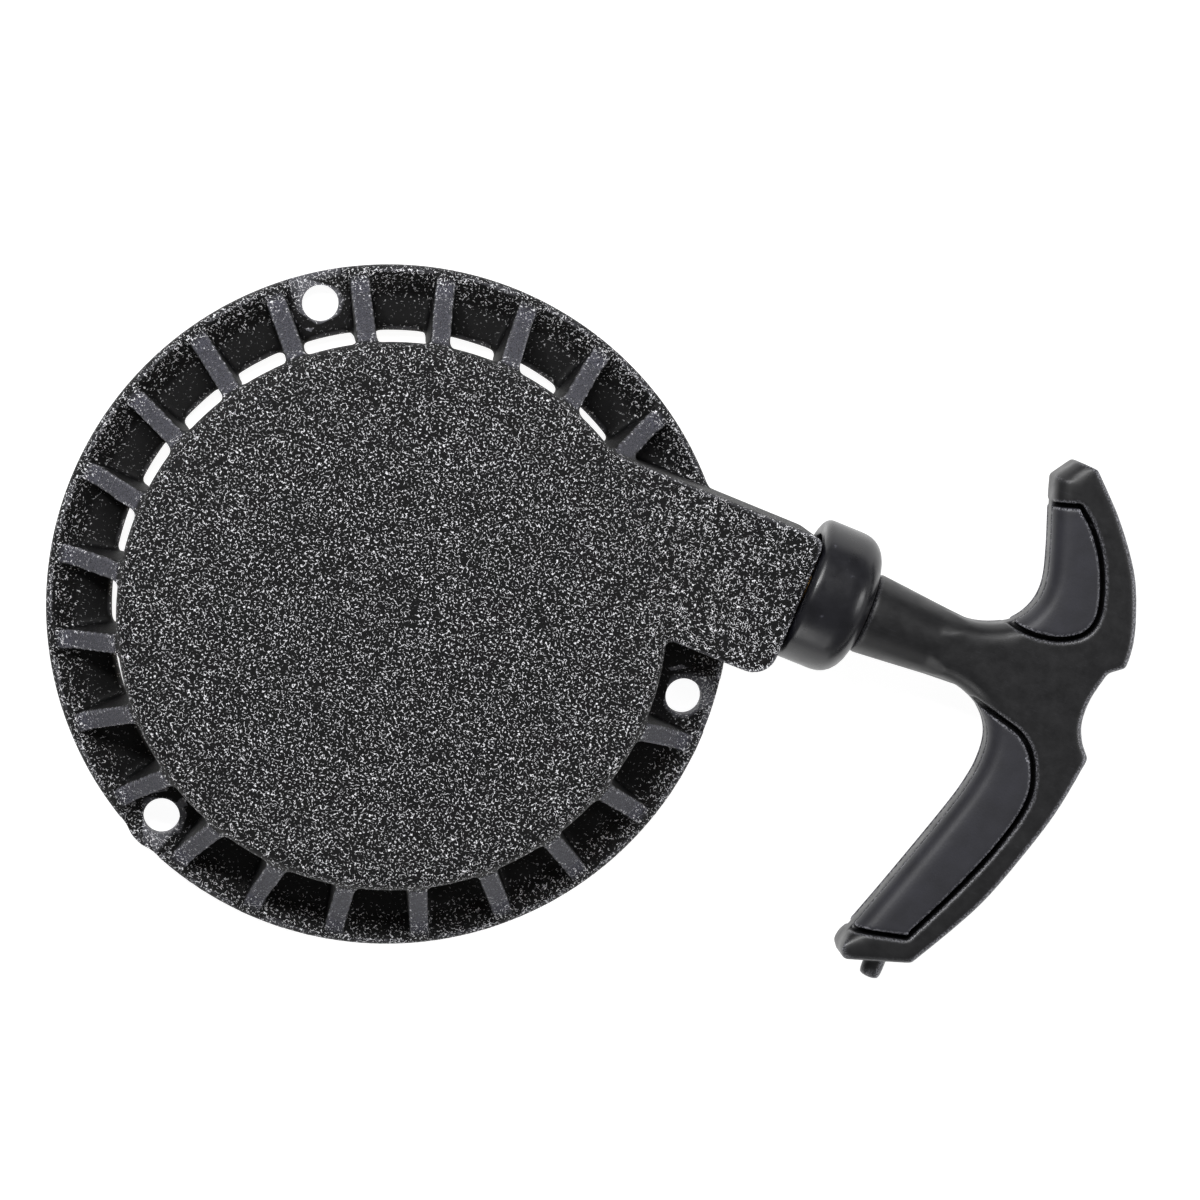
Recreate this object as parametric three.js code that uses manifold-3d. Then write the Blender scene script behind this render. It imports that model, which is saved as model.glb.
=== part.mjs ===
// Recoil starter of a small two-stroke engine.
// Millimetres. The origin is on the reel's axis, in the plane that bolts to the crankcase.
// +Z points out of the cover, away from the engine. +X is the way the rope is pulled.
import * as THREE from 'three';
import { mergeVertices } from 'three/addons/utils/BufferGeometryUtils.js';
import Module from 'manifold-3d';

const wasm = await Module();
wasm.setup();

// ---------------------------------------------------------------- driving dimensions

// Cast housing: a low drum standing on a bolted ring, joined to it by radial ribs.
const DRUM_R = 59.2;
const DRUM_WALL = 3.2;
const DRUM_EDGE_ROUND = 3.5;
const DRUM_RIM_DEPTH = 7;
const TOP_Z = 31;
const TOP_WALL = 2.7;
const WINDOW_GAP = 1.5;
const RING_WIDTH = 14.3;
const FLOOR_T = 4;
const LIP_Z = 7;
const LIP_WIDTH = 6.5;
const LIP_SLOPE = 4.5;
const LIP_CHAMFER = 1.2;
const RIB_COUNT = 24;
const RIB_ANGLE = 12.5;
const RIB_T = 4.4;
const RIB_ROOT = 1.2;
const RIB_EDGE = 0.8;
const RIB_FLAT = 5;
const RIB_RISE = 2.4;

// Three bolt holes, each in the middle of a pocket between two ribs. One of them has an ear.
const HOLE_COUNT = 3;
const HOLE_ANGLE = 5;
const HOLE_R = 4;
const HOLE_INSET = 7.5;
const SPOT_FACE_RIM = 2.5;
const EAR_RIM = 3.8;
const EAR_HOLE = 2;

// Neck that carries the rope out of the drum.
const NECK_WIDTH = 32.8;
const NECK_OFFSET = 4.6;
const NECK_PROUD = 5.1;
const NECK_DROP = 1.5;
const NECK_WALL = 3.2;
const NECK_ROUND_OUTER = 2.5;
const NECK_ROUND_INNER = 5.5;
const NECK_BEVEL = 1.2;

// Centre post, bushing, screw and washer.
const POST_R = 6;
const BUSHING_T = 1.4;
const SCREW_R = 2.5;
const SCREW_DEPTH = 15;
const SCREW_HEAD_R = 4.6;
const SCREW_HEAD_H = 2.6;
const WASHER_R = 9.5;
const WASHER_T = 1;

// Recoil spring and its cup.
const CUP_R = 30;
const CUP_WALL = 1;
const CUP_H = 6.6;
const CUP_SEAT_T = 1.6;
const CUP_SEAT_H = 3;
const STRIP_T = 0.6;
const STRIP_W = 4.6;
const STRIP_TURNS = 6;

// Rope, reel and windings.
const ROPE_D = 3.5;
const ROPE_TURNS = 3.5;
const ROPE_FACET = 7.8;
const REEL_CLEARANCE = 10;
const FLANGE_PROUD = 7;
const FLANGE_UPPER_T = 1.5;
const FLANGE_LOWER_T = 2;
const FLANGE_CHAMFER = 0.6;
const GROOVE_SPARE = 2.4;
const HUB_R = 12;
const HUB_LOWER_H = 1.9;

// Pawls, their pins, springs and the plate that throws them out.
const PAWL_COUNT = 2;
const PAWL_PIN_RING_R = 17.5;
const PAWL_PIN_R = 1.9;
const PAWL_T = 3;
const PAWL_EYE_R = 3.9;
const PAWL_REACH = 15;
const PAWL_SWING = 25;
const PEG_REACH = 8;
const PEG_R = 1.3;
const GUIDE_R = 22.5;
const GUIDE_T = 1.7;
const GUIDE_TURN = 20;
const PAWL_SPRING_WIRE = 0.6;
const FRICTION_WIRE = 0.9;
const FRICTION_COIL_R = 8;

// Rope guide bush in the end of the neck.
const BUSH_WALL = 2.3;
const BUSH_FLANGE_R = 7.5;
const BUSH_FLANGE_T = 1.5;

// Handle and its rubber buffer. The handle's own x runs from the end of the neck.
const BUFFER_R = 16;
const BUFFER_LENGTH = 15.2;
const BUFFER_CUP_R = 12.6;
const BUFFER_CUP_DEPTH = 5.5;
const SPIGOT_R = 6;
const STEM_R = 9.05;
const STEM_WAIST_R = 7.2;
const HANDLE_T = 15;
const HANDLE_BEVEL = 2;
const PAD_DEPTH = 3.2;
const PAD_GROOVE = 0.8;
const KNOT_R = 4.2;
const KNOT_WASHER_T = 1.2;
const KNOT_POCKET_X = 57.5;
const TIP_NUB_R = 2.4;

// Clearances and facet counts.
const GAP = 0.3;
const RUNNING_GAP = 0.3;
const END_FLOAT = 0.5;
const FACETS = 60;
const MEDIUM_FACETS = 36;
const SMALL_FACETS = 20;
const ROPE_SIDES = 8;
const WELD = 1e-4;
const THROUGH = 1;

// ---------------------------------------------------------------- derived dimensions

const CAVITY_R = DRUM_R - DRUM_WALL;
const RING_INNER_R = DRUM_R + WINDOW_GAP;
const RING_R = RING_INNER_R + RING_WIDTH;
const HOLE_CIRCLE_R = RING_INNER_R + HOLE_INSET;
const TOP_INNER_Z = TOP_Z - TOP_WALL;

const CUP_TOP_Z = TOP_INNER_Z - GAP;
const CUP_RIM_Z = CUP_TOP_Z - CUP_H;
const STRIP_TOP_Z = CUP_TOP_Z - CUP_WALL - RUNNING_GAP;
const REEL_TOP_Z = CUP_RIM_Z - END_FLOAT;
const HUB_TOP_Z = CUP_TOP_Z - CUP_WALL - END_FLOAT;
const GROOVE_W = ROPE_D + GROOVE_SPARE;
const GROOVE_TOP_Z = REEL_TOP_Z - FLANGE_UPPER_T;
const GROOVE_BOTTOM_Z = GROOVE_TOP_Z - GROOVE_W;
const REEL_BOTTOM_Z = GROOVE_BOTTOM_Z - FLANGE_LOWER_T;
const HUB_BOTTOM_Z = REEL_BOTTOM_Z - HUB_LOWER_H;
const PULL_Z = (GROOVE_TOP_Z + GROOVE_BOTTOM_Z) / 2;

const REEL_R = CAVITY_R - REEL_CLEARANCE;
const ROPE_PITCH = ROPE_D + GAP + 0.05;
const WINDING_OUTER_R = REEL_R - FLANGE_PROUD;
const WINDING_INNER_R = WINDING_OUTER_R - ROPE_PITCH * ROPE_TURNS;
const CORE_R = WINDING_INNER_R - ROPE_D / 2 - GAP;
const PULL_Y = WINDING_OUTER_R;

const BUSHING_INNER_R = POST_R + RUNNING_GAP;
const BUSHING_R = BUSHING_INNER_R + BUSHING_T;
const REEL_BORE_R = BUSHING_R + GAP;

// From the reel down towards the engine: pawls, guide plate, washer, screw head.
const PAWL_TOP_Z = REEL_BOTTOM_Z - PAWL_SPRING_WIRE * 1.5 - 2 * RUNNING_GAP;
const PAWL_BOTTOM_Z = PAWL_TOP_Z - PAWL_T;
const GUIDE_TOP_Z = PAWL_BOTTOM_Z - RUNNING_GAP;
const GUIDE_BOTTOM_Z = GUIDE_TOP_Z - GUIDE_T;
const WASHER_TOP_Z = GUIDE_BOTTOM_Z - GAP;
const POST_BOTTOM_Z = WASHER_TOP_Z + GAP;
const SCREW_HEAD_TOP_Z = WASHER_TOP_Z - WASHER_T - GAP;
const SCREW_HEAD_BOTTOM_Z = SCREW_HEAD_TOP_Z - SCREW_HEAD_H;
const PEG_BOTTOM_Z = GUIDE_BOTTOM_Z + GAP;

const NECK_TOP_Z = TOP_Z - NECK_DROP;
const NECK_END_X = RING_R + NECK_PROUD;
const NECK_CENTRE_Y = PULL_Y - NECK_OFFSET;
const NECK_LOW_Y = NECK_CENTRE_Y - NECK_WIDTH / 2;
const NECK_HIGH_Y = NECK_CENTRE_Y + NECK_WIDTH / 2;
const NECK_START_X = CAVITY_R * 0.45;

const ROPE_BORE_R = ROPE_D / 2 + 0.8;
const BUSH_BORE_R = ROPE_D / 2 + 0.8;
const BUSH_R = BUSH_BORE_R + BUSH_WALL;
const KNOT_POCKET_R = KNOT_R + 1;
const KNOT_X = KNOT_POCKET_X + KNOT_WASHER_T + 2 * GAP + KNOT_R;
const REEL_KNOT_R = ROPE_D;
const REEL_POCKET_R = REEL_KNOT_R + 1;

const PAD_FLOOR = HANDLE_T / 2 - PAD_DEPTH;

const FULL_TURN = 2 * Math.PI;
const HALF_TURN = Math.PI;
const QUARTER_TURN = Math.PI / 2;

function radians(degrees) {
  return THREE.MathUtils.degToRad(degrees);
}

// ---------------------------------------------------------------- mesh helpers

// Volume enclosed by an indexed mesh: positive when its faces point outwards.
function enclosedVolume(positions, index) {
  const [a, b, c] = [new THREE.Vector3(), new THREE.Vector3(), new THREE.Vector3()];
  let six = 0;
  for (let i = 0; i < index.length; i += 3) {
    a.fromArray(positions, index[i] * 3);
    b.fromArray(positions, index[i + 1] * 3);
    c.fromArray(positions, index[i + 2] * 3);
    six += a.dot(b.cross(c));
  }
  return six / 6;
}

// Turns a closed geometry into a solid that can be joined and cut.
function solid(geometry) {
  geometry.deleteAttribute('normal');
  geometry.deleteAttribute('uv');
  const welded = mergeVertices(geometry, WELD);
  const vertProperties = Float32Array.from(welded.attributes.position.array);
  const kept = [];
  for (let i = 0; i < welded.index.count; i += 3) {
    const [a, b, c] = [0, 1, 2].map((k) => welded.index.getX(i + k));
    if (a !== b && b !== c && c !== a) kept.push([a, b, c]);
  }
  const inward = enclosedVolume(vertProperties, kept.flat()) < 0;
  const faces = inward ? kept.map(([a, b, c]) => [a, c, b]) : kept;
  const triVerts = Uint32Array.from(faces.flat());
  return new wasm.Manifold(new wasm.Mesh({ numProp: 3, vertProperties, triVerts }));
}

function joined(solids) {
  return solids.reduce((whole, one) => whole.add(one));
}

function cutBy(whole, solids) {
  return solids.reduce((rest, one) => rest.subtract(one), whole);
}

// Turns a profile of [radius, height] points about the Z axis.
function turned(profile, facets = FACETS) {
  const points = profile.map(([r, z]) => new THREE.Vector2(r, z));
  return new THREE.LatheGeometry(points, facets).rotateX(QUARTER_TURN);
}

// The same for a hollow body, whose profile closes on itself.
function turnedHollow(profile, facets = FACETS) {
  return turned([...profile, profile[0]], facets);
}

function disc(r, bottom, top, facets = MEDIUM_FACETS) {
  return turned([[0, bottom], [r, bottom], [r, top], [0, top]], facets);
}

function sleeve(inner, outer, bottom, top, facets = MEDIUM_FACETS) {
  return turnedHollow([[inner, bottom], [outer, bottom], [outer, top], [inner, top]], facets);
}

// Lays a body turned about Z down along X.
function alongX(geometry) {
  return geometry.rotateY(QUARTER_TURN);
}

function plate(shape, bottom, top, curveSegments = 3) {
  const options = { depth: top - bottom, bevelEnabled: false, curveSegments };
  return new THREE.ExtrudeGeometry(shape, options).translate(0, 0, bottom);
}

function outline(points) {
  return new THREE.Shape(points.map(([x, y]) => new THREE.Vector2(x, y)));
}

// A round bar swept along a smooth curve through the points.
function sweptBar(points, r, steps, sides = ROPE_SIDES) {
  const section = new THREE.Shape();
  section.absarc(0, 0, r, 0, FULL_TURN);
  const path = new THREE.CatmullRomCurve3(points.map((p) => new THREE.Vector3(...p)));
  const options = { steps, extrudePath: path, curveSegments: sides / 2 };
  return new THREE.ExtrudeGeometry(section, options);
}

function polar(r, angle, z) {
  return [r * Math.cos(angle), r * Math.sin(angle), z];
}

// Moves every point of a closed outline inwards by the same distance.
function inset(points, distance) {
  const anticlockwise = THREE.ShapeUtils.area(points) > 0 ? 1 : -1;
  return points.map((point, i) => {
    const before = points[(i + points.length - 1) % points.length];
    const after = points[(i + 1) % points.length];
    const along = after.clone().sub(before).normalize();
    const inward = new THREE.Vector2(-along.y, along.x).multiplyScalar(anticlockwise);
    return point.clone().add(inward.multiplyScalar(distance));
  });
}

// ---------------------------------------------------------------- finishes

const FINISHES = {
  crinkle_black: { color: 0x26262a, roughness: 0.55, metalness: 0.1 },
  satin_plastic: { color: 0x1b1b1e, roughness: 0.5, metalness: 0 },
  grip_plastic: { color: 0x24242a, roughness: 0.65, metalness: 0 },
  buffer_rubber: { color: 0x202028, roughness: 0.45, metalness: 0 },
  zinc_steel: { color: 0xb9b8b0, roughness: 0.35, metalness: 1 },
  spring_steel: { color: 0x5a6070, roughness: 0.3, metalness: 1 },
  reel_nylon: { color: 0xd8d4c8, roughness: 0.5, metalness: 0 },
  guide_nylon: { color: 0x2b2c30, roughness: 0.5, metalness: 0 },
  sintered_bronze: { color: 0x9a7444, roughness: 0.45, metalness: 1 },
  rope_nylon: { color: 0x1d1d1f, roughness: 0.8, metalness: 0 },
};

function place(parent, name, made, finish) {
  const { vertProperties, triVerts } = made.getMesh();
  const geometry = new THREE.BufferGeometry();
  geometry.setAttribute('position', new THREE.BufferAttribute(Float32Array.from(vertProperties), 3));
  geometry.setIndex(new THREE.BufferAttribute(Uint32Array.from(triVerts), 1));
  const mesh = new THREE.Mesh(geometry, new THREE.MeshStandardMaterial(FINISHES[finish]));
  mesh.name = name;
  parent.add(mesh);
  return mesh;
}

// ---------------------------------------------------------------- housing

// Bolted ring with a raised lip round its outer edge.
function ring() {
  const lipInner = RING_R - LIP_WIDTH;
  return solid(turnedHollow([
    [RING_INNER_R, 0],
    [RING_R, 0],
    [RING_R, LIP_Z - LIP_CHAMFER],
    [RING_R - LIP_CHAMFER, LIP_Z],
    [lipInner + LIP_SLOPE, LIP_Z],
    [lipInner, FLOOR_T],
    [RING_INNER_R, FLOOR_T],
  ]));
}

// Closed top of the drum, with a rounded edge and a short rim that the ribs hold.
function drumTop() {
  const profile = [[0, TOP_INNER_Z], [CAVITY_R, TOP_INNER_Z]];
  profile.push([CAVITY_R, TOP_Z - DRUM_RIM_DEPTH], [DRUM_R, TOP_Z - DRUM_RIM_DEPTH]);
  const steps = 4;
  for (let i = 0; i <= steps; i += 1) {
    const angle = (QUARTER_TURN * i) / steps;
    const r = DRUM_R - DRUM_EDGE_ROUND * (1 - Math.cos(angle));
    profile.push([r, TOP_Z - DRUM_EDGE_ROUND * (1 - Math.sin(angle))]);
  }
  profile.push([0, TOP_Z]);
  return solid(turned(profile));
}

// One radial rib: steep beside the drum, flatter over the ring's lip.
function rib(degrees) {
  const side = outline([
    [DRUM_R - RIB_ROOT, RIB_EDGE],
    [RING_R - RIB_EDGE, RIB_EDGE],
    [RING_R - RIB_EDGE, LIP_Z - RIB_EDGE],
    [RING_R - 2 * RIB_EDGE, LIP_Z + RIB_EDGE / 2],
    [RING_R - RIB_FLAT, LIP_Z + RIB_RISE],
    [DRUM_R + RIB_EDGE, TOP_Z - DRUM_EDGE_ROUND],
    [DRUM_R - RIB_ROOT, TOP_Z - DRUM_EDGE_ROUND + RIB_ROOT],
  ]);
  const blade = plate(side, -RIB_T / 2, RIB_T / 2).rotateX(QUARTER_TURN);
  return solid(blade.rotateZ(radians(degrees)));
}

// The ribs go all round the ring, apart from where the neck crosses it.
function ribAngles() {
  const middle = (RING_INNER_R + RING_R) / 2;
  const spare = RIB_T / 2 + 1;
  const allRound = Array.from({ length: RIB_COUNT }, (_, i) => RIB_ANGLE + (i * 360) / RIB_COUNT);
  return allRound.filter((degrees) => {
    const [x, y] = polar(middle, radians(degrees), 0);
    return x < 0 || y < NECK_LOW_Y - spare || y > NECK_HIGH_Y + spare;
  });
}

// Plan outline of the neck, smaller by the wall all round when it cuts the passage.
function neckPlan(wall) {
  const [low, high] = [NECK_LOW_Y + wall, NECK_HIGH_Y - wall];
  const end = NECK_END_X - wall;
  const roundLow = NECK_ROUND_INNER - Math.min(wall, NECK_ROUND_INNER - 1);
  const roundHigh = NECK_ROUND_OUTER - Math.min(wall, NECK_ROUND_OUTER - 1);
  const shape = new THREE.Shape();
  shape.moveTo(NECK_START_X, low);
  shape.lineTo(end - roundLow, low);
  shape.absarc(end - roundLow, low + roundLow, roundLow, -QUARTER_TURN, 0);
  shape.lineTo(end, high - roundHigh);
  shape.absarc(end - roundHigh, high - roundHigh, roundHigh, 0, QUARTER_TURN);
  shape.lineTo(NECK_START_X, high);
  return shape;
}

// Walls and roof of the neck, open towards the engine as the casting is drawn that way.
function neck() {
  const below = 2 * NECK_BEVEL;
  const options = {
    depth: NECK_TOP_Z,
    bevelThickness: NECK_BEVEL,
    bevelSize: NECK_BEVEL,
    bevelOffset: -NECK_BEVEL,
    bevelSegments: 2,
    curveSegments: 4,
  };
  const block = new THREE.ExtrudeGeometry(neckPlan(0), options).translate(0, 0, NECK_BEVEL - below);
  const reach = NECK_END_X + THROUGH;
  const underside = new THREE.BoxGeometry(2 * reach, 2 * reach, below + THROUGH);
  underside.translate(0, 0, -(below + THROUGH) / 2);
  const passage = plate(neckPlan(NECK_WALL), -THROUGH, NECK_TOP_Z - NECK_WALL);
  return cutBy(solid(block), [solid(underside), solid(passage)]);
}

function atHoles(make) {
  return Array.from({ length: HOLE_COUNT }, (_, i) => {
    const angle = radians(HOLE_ANGLE + (i * 360) / HOLE_COUNT);
    const [x, y] = polar(HOLE_CIRCLE_R, angle, 0);
    return solid(make().translate(x, y, 0));
  });
}

// Post that the reel turns on, drilled for the centre screw.
function post() {
  const screwTop = POST_BOTTOM_Z + SCREW_DEPTH + GAP;
  const bar = disc(POST_R, POST_BOTTOM_Z, TOP_INNER_Z + THROUGH);
  const screwHole = disc(SCREW_R + GAP, POST_BOTTOM_Z - THROUGH, screwTop, SMALL_FACETS);
  return solid(bar).subtract(solid(screwHole));
}

// Low wall inside the drum that the spring cup sits in.
function cupSeat() {
  const inner = CUP_R + GAP;
  const bottom = TOP_INNER_Z - CUP_SEAT_H;
  return solid(sleeve(inner, inner + CUP_SEAT_T, bottom, TOP_INNER_Z + THROUGH, FACETS));
}

// Round hole in the end of the neck for the rope guide bush.
function bushHole() {
  const start = NECK_END_X - 2 * NECK_WALL;
  const hole = alongX(disc(BUSH_R + GAP, start, NECK_END_X + THROUGH, SMALL_FACETS));
  return solid(hole.translate(0, PULL_Y, PULL_Z));
}

function housing() {
  const spotR = HOLE_R + SPOT_FACE_RIM;
  const shell = joined([
    ring(),
    drumTop(),
    neck(),
    ...ribAngles().map(rib),
    atHoles(() => disc(HOLE_R + EAR_RIM, 0, FLOOR_T))[EAR_HOLE],
  ]);
  const open = cutBy(shell, [
    solid(disc(CAVITY_R, -THROUGH, TOP_INNER_Z, FACETS)),
    bushHole(),
    ...atHoles(() => disc(spotR, FLOOR_T, LIP_Z + 2 * THROUGH)),
    ...atHoles(() => disc(HOLE_R, -THROUGH, FLOOR_T + THROUGH)),
  ]);
  return joined([open, post(), cupSeat()]);
}

// ---------------------------------------------------------------- pieces fixed to the housing

// Flanged eyelet that the rope runs through.
function ropeGuideBush() {
  const inside = -NECK_WALL - 1;
  return solid(alongX(turnedHollow([
    [BUSH_BORE_R, inside],
    [BUSH_R, inside],
    [BUSH_R, GAP],
    [BUSH_FLANGE_R, GAP],
    [BUSH_FLANGE_R - 0.6, GAP + BUSH_FLANGE_T],
    [BUSH_BORE_R + 1, GAP + BUSH_FLANGE_T],
    [BUSH_BORE_R, GAP + BUSH_FLANGE_T - 1],
  ], SMALL_FACETS)));
}

// Pressed cup, open towards the engine, with a slot for the spring's outer end.
function springCup() {
  const slotW = STRIP_T + 2 * GAP + 0.4;
  const inner = POST_R + GAP + 1.5;
  const cup = solid(turnedHollow([
    [inner, CUP_TOP_Z - CUP_WALL],
    [CUP_R - CUP_WALL, CUP_TOP_Z - CUP_WALL],
    [CUP_R - CUP_WALL, CUP_RIM_Z],
    [CUP_R, CUP_RIM_Z],
    [CUP_R, CUP_TOP_Z],
    [inner, CUP_TOP_Z],
  ]));
  const slot = new THREE.BoxGeometry(4 * CUP_WALL, slotW, CUP_H);
  slot.translate(CUP_R, 0, CUP_TOP_Z - CUP_WALL - CUP_H / 2);
  return cup.subtract(solid(slot));
}

// Spiral strip: its inner end is bent into the reel's hub, its outer end through the cup.
function recoilSpring() {
  const inner = HUB_R + GAP + STRIP_T;
  const outer = CUP_R - CUP_WALL - GAP - STRIP_T;
  const steps = STRIP_TURNS * 20;
  const path = [new THREE.Vector2(HUB_R - 1.6, 0)];
  for (let i = 0; i <= steps; i += 1) {
    const r = THREE.MathUtils.lerp(inner, outer, i / steps);
    const [x, y] = polar(r, (i / steps) * STRIP_TURNS * FULL_TURN, 0);
    path.push(new THREE.Vector2(x, y));
  }
  path.push(new THREE.Vector2(CUP_R, 0));
  const sides = [1, -1].map((sign) => path.map((point, i) => {
    const before = path[Math.max(i - 1, 0)];
    const after = path[Math.min(i + 1, path.length - 1)];
    const along = after.clone().sub(before).normalize();
    return new THREE.Vector2(-along.y, along.x).multiplyScalar((sign * STRIP_T) / 2).add(point);
  }));
  const strip = new THREE.Shape([...sides[0], ...sides[1].reverse()]);
  return solid(plate(strip, STRIP_TOP_Z - STRIP_W, STRIP_TOP_Z));
}

function centreWasher() {
  return solid(sleeve(SCREW_R + GAP, WASHER_R, WASHER_TOP_Z - WASHER_T, WASHER_TOP_Z));
}

// Hexagon-headed screw up into the post.
function centreScrew() {
  const head = disc(SCREW_HEAD_R, SCREW_HEAD_BOTTOM_Z, SCREW_HEAD_TOP_Z, 6);
  const shank = disc(SCREW_R, SCREW_HEAD_BOTTOM_Z + 1, POST_BOTTOM_Z + SCREW_DEPTH, SMALL_FACETS);
  return solid(head).add(solid(shank));
}

// Helical wire, flattened between two heights.
function coil(r, bottom, top, turns, wire, stepsPerTurn) {
  const points = [];
  const steps = Math.round(turns * stepsPerTurn);
  for (let i = 0; i <= steps; i += 1) {
    const height = bottom + wire / 2 + ((top - bottom - wire) * i) / steps;
    points.push(polar(r, (i / steps) * turns * FULL_TURN, height));
  }
  return sweptBar(points, wire / 2, steps, 6);
}

function frictionSpring() {
  const bottom = GUIDE_TOP_Z + GAP;
  return solid(coil(FRICTION_COIL_R, bottom, HUB_BOTTOM_Z - GAP, 2, FRICTION_WIRE, 16));
}

// ---------------------------------------------------------------- reel and rope on it

const REEL_KNOT_ANGLE = radians(318);
const WINDING_START = QUARTER_TURN;
const WINDING_END = WINDING_START + ROPE_TURNS * FULL_TURN;

// The rope's way from its last turn in towards the knot in the core, where it stops short.
function ropeTail() {
  const end = WINDING_END % FULL_TURN;
  const sweep = REEL_KNOT_ANGLE - (REEL_KNOT_R + GAP) / PAWL_PIN_RING_R - end;
  return [[0.27, 0.06], [0.66, 0.34], [1, 0.7]].map(([turn, dip]) => {
    const r = THREE.MathUtils.lerp(WINDING_INNER_R, PAWL_PIN_RING_R, dip);
    return polar(r, end + sweep * turn, PULL_Z);
  });
}

function windingPoints() {
  const stepsPerTurn = 16;
  const steps = ROPE_TURNS * stepsPerTurn;
  return Array.from({ length: steps + 1 }, (_, i) => {
    const r = WINDING_OUTER_R - (ROPE_PITCH * i) / stepsPerTurn;
    return polar(r, WINDING_START + (i / stepsPerTurn) * FULL_TURN, PULL_Z);
  });
}

function ropeWindings() {
  const points = [...windingPoints(), ...ropeTail()];
  const middle = (WINDING_OUTER_R + WINDING_INNER_R) / 2;
  const steps = Math.round((ROPE_TURNS * FULL_TURN * middle) / ROPE_FACET);
  return solid(sweptBar(points, ROPE_D / 2, steps));
}

function ropeReelKnot() {
  const [x, y] = polar(PAWL_PIN_RING_R, REEL_KNOT_ANGLE, 0);
  const flattening = (GROOVE_W / 2 - GAP) / REEL_KNOT_R;
  const knot = new THREE.SphereGeometry(REEL_KNOT_R, 12, 8).scale(1, 1, flattening);
  return solid(knot.translate(x, y, PULL_Z));
}

// Pocket for the rope's knot, and the channel that leads the rope in to it.
function ropeAnchor() {
  const [x, y] = polar(PAWL_PIN_RING_R, REEL_KNOT_ANGLE, 0);
  const pocket = disc(REEL_POCKET_R, GROOVE_BOTTOM_Z, REEL_TOP_Z + THROUGH, SMALL_FACETS);
  const lastTurns = windingPoints().slice(-3);
  const route = [...lastTurns, ...ropeTail(), [x, y, PULL_Z]];
  return [solid(pocket.translate(x, y, 0)), solid(sweptBar(route, ROPE_D / 2 + 3 * GAP, 20))];
}

// Slot in the hub that the spring's inner end hooks into.
function springNotch() {
  const notch = new THREE.BoxGeometry(4, STRIP_T + 1, CUP_H);
  return solid(notch.translate(HUB_R, 0, REEL_TOP_Z + CUP_H / 2 + GAP));
}

function reel() {
  const body = solid(turnedHollow([
    [REEL_BORE_R, HUB_BOTTOM_Z],
    [HUB_R, HUB_BOTTOM_Z],
    [HUB_R, REEL_BOTTOM_Z],
    [REEL_R - FLANGE_CHAMFER, REEL_BOTTOM_Z],
    [REEL_R, REEL_BOTTOM_Z + FLANGE_CHAMFER],
    [REEL_R, GROOVE_BOTTOM_Z],
    [CORE_R, GROOVE_BOTTOM_Z],
    [CORE_R, GROOVE_TOP_Z],
    [REEL_R, GROOVE_TOP_Z],
    [REEL_R - FLANGE_CHAMFER, REEL_TOP_Z],
    [HUB_R, REEL_TOP_Z],
    [HUB_R, HUB_TOP_Z],
    [REEL_BORE_R, HUB_TOP_Z],
  ], 48));
  const pinHoles = Array.from({ length: PAWL_COUNT }, (_, i) => {
    const hole = disc(PAWL_PIN_R + GAP, REEL_BOTTOM_Z - THROUGH, PULL_Z + GAP, SMALL_FACETS);
    return solid(hole.translate(...polar(PAWL_PIN_RING_R, pawlAngle(i), 0)));
  });
  return cutBy(body, [...ropeAnchor(), springNotch(), ...pinHoles]);
}

function reelBushing() {
  return solid(sleeve(BUSHING_INNER_R, BUSHING_R, HUB_BOTTOM_Z, HUB_TOP_Z));
}

// ---------------------------------------------------------------- pawls and guide plate

function pawlAngle(i) {
  return QUARTER_TURN + (i * FULL_TURN) / PAWL_COUNT;
}

// A pawl lying along +X from its pin at the origin, with a peg down into the guide plate.
function pawl() {
  const shape = new THREE.Shape();
  shape.moveTo(0, -PAWL_EYE_R);
  shape.absarc(0, 0, PAWL_EYE_R, -QUARTER_TURN, QUARTER_TURN, true);
  shape.splineThru([
    new THREE.Vector2(PAWL_REACH * 0.4, PAWL_EYE_R * 0.85),
    new THREE.Vector2(PAWL_REACH * 0.75, PAWL_EYE_R * 0.5),
    new THREE.Vector2(PAWL_REACH - 0.6, PAWL_EYE_R * 0.35),
  ]);
  shape.lineTo(PAWL_REACH, -PAWL_EYE_R * 0.4);
  shape.lineTo(PAWL_REACH * 0.8, -PAWL_EYE_R * 0.7);
  const body = solid(plate(shape, PAWL_BOTTOM_Z, PAWL_TOP_Z, 5));
  const eyeR = PAWL_PIN_R + RUNNING_GAP;
  const eye = disc(eyeR, PAWL_BOTTOM_Z - THROUGH, PAWL_TOP_Z + THROUGH, SMALL_FACETS);
  const peg = disc(PEG_R, PEG_BOTTOM_Z, PAWL_BOTTOM_Z + THROUGH, 12).translate(PEG_REACH, 0, 0);
  return body.subtract(solid(eye)).add(solid(peg));
}

function pawlPin() {
  return solid(disc(PAWL_PIN_R, PAWL_BOTTOM_Z + GAP, PULL_Z, SMALL_FACETS));
}

function pawlSpring() {
  const bottom = PAWL_TOP_Z + RUNNING_GAP;
  const r = PAWL_PIN_R + 3 * RUNNING_GAP;
  return solid(coil(r, bottom, REEL_BOTTOM_Z - RUNNING_GAP, 0.9, PAWL_SPRING_WIRE, 14));
}

// Where a pawl's peg is, seen from the guide plate, once the plate has lagged a share of its turn.
function pegPlace(i, share) {
  const swing = radians(PAWL_SWING * share);
  const peg = new THREE.Vector2(PEG_REACH, 0).rotateAround(new THREE.Vector2(), swing);
  peg.y += PAWL_PIN_RING_R;
  const lag = radians(GUIDE_TURN * share);
  return peg.rotateAround(new THREE.Vector2(), pawlAngle(i) - QUARTER_TURN - lag);
}

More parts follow.
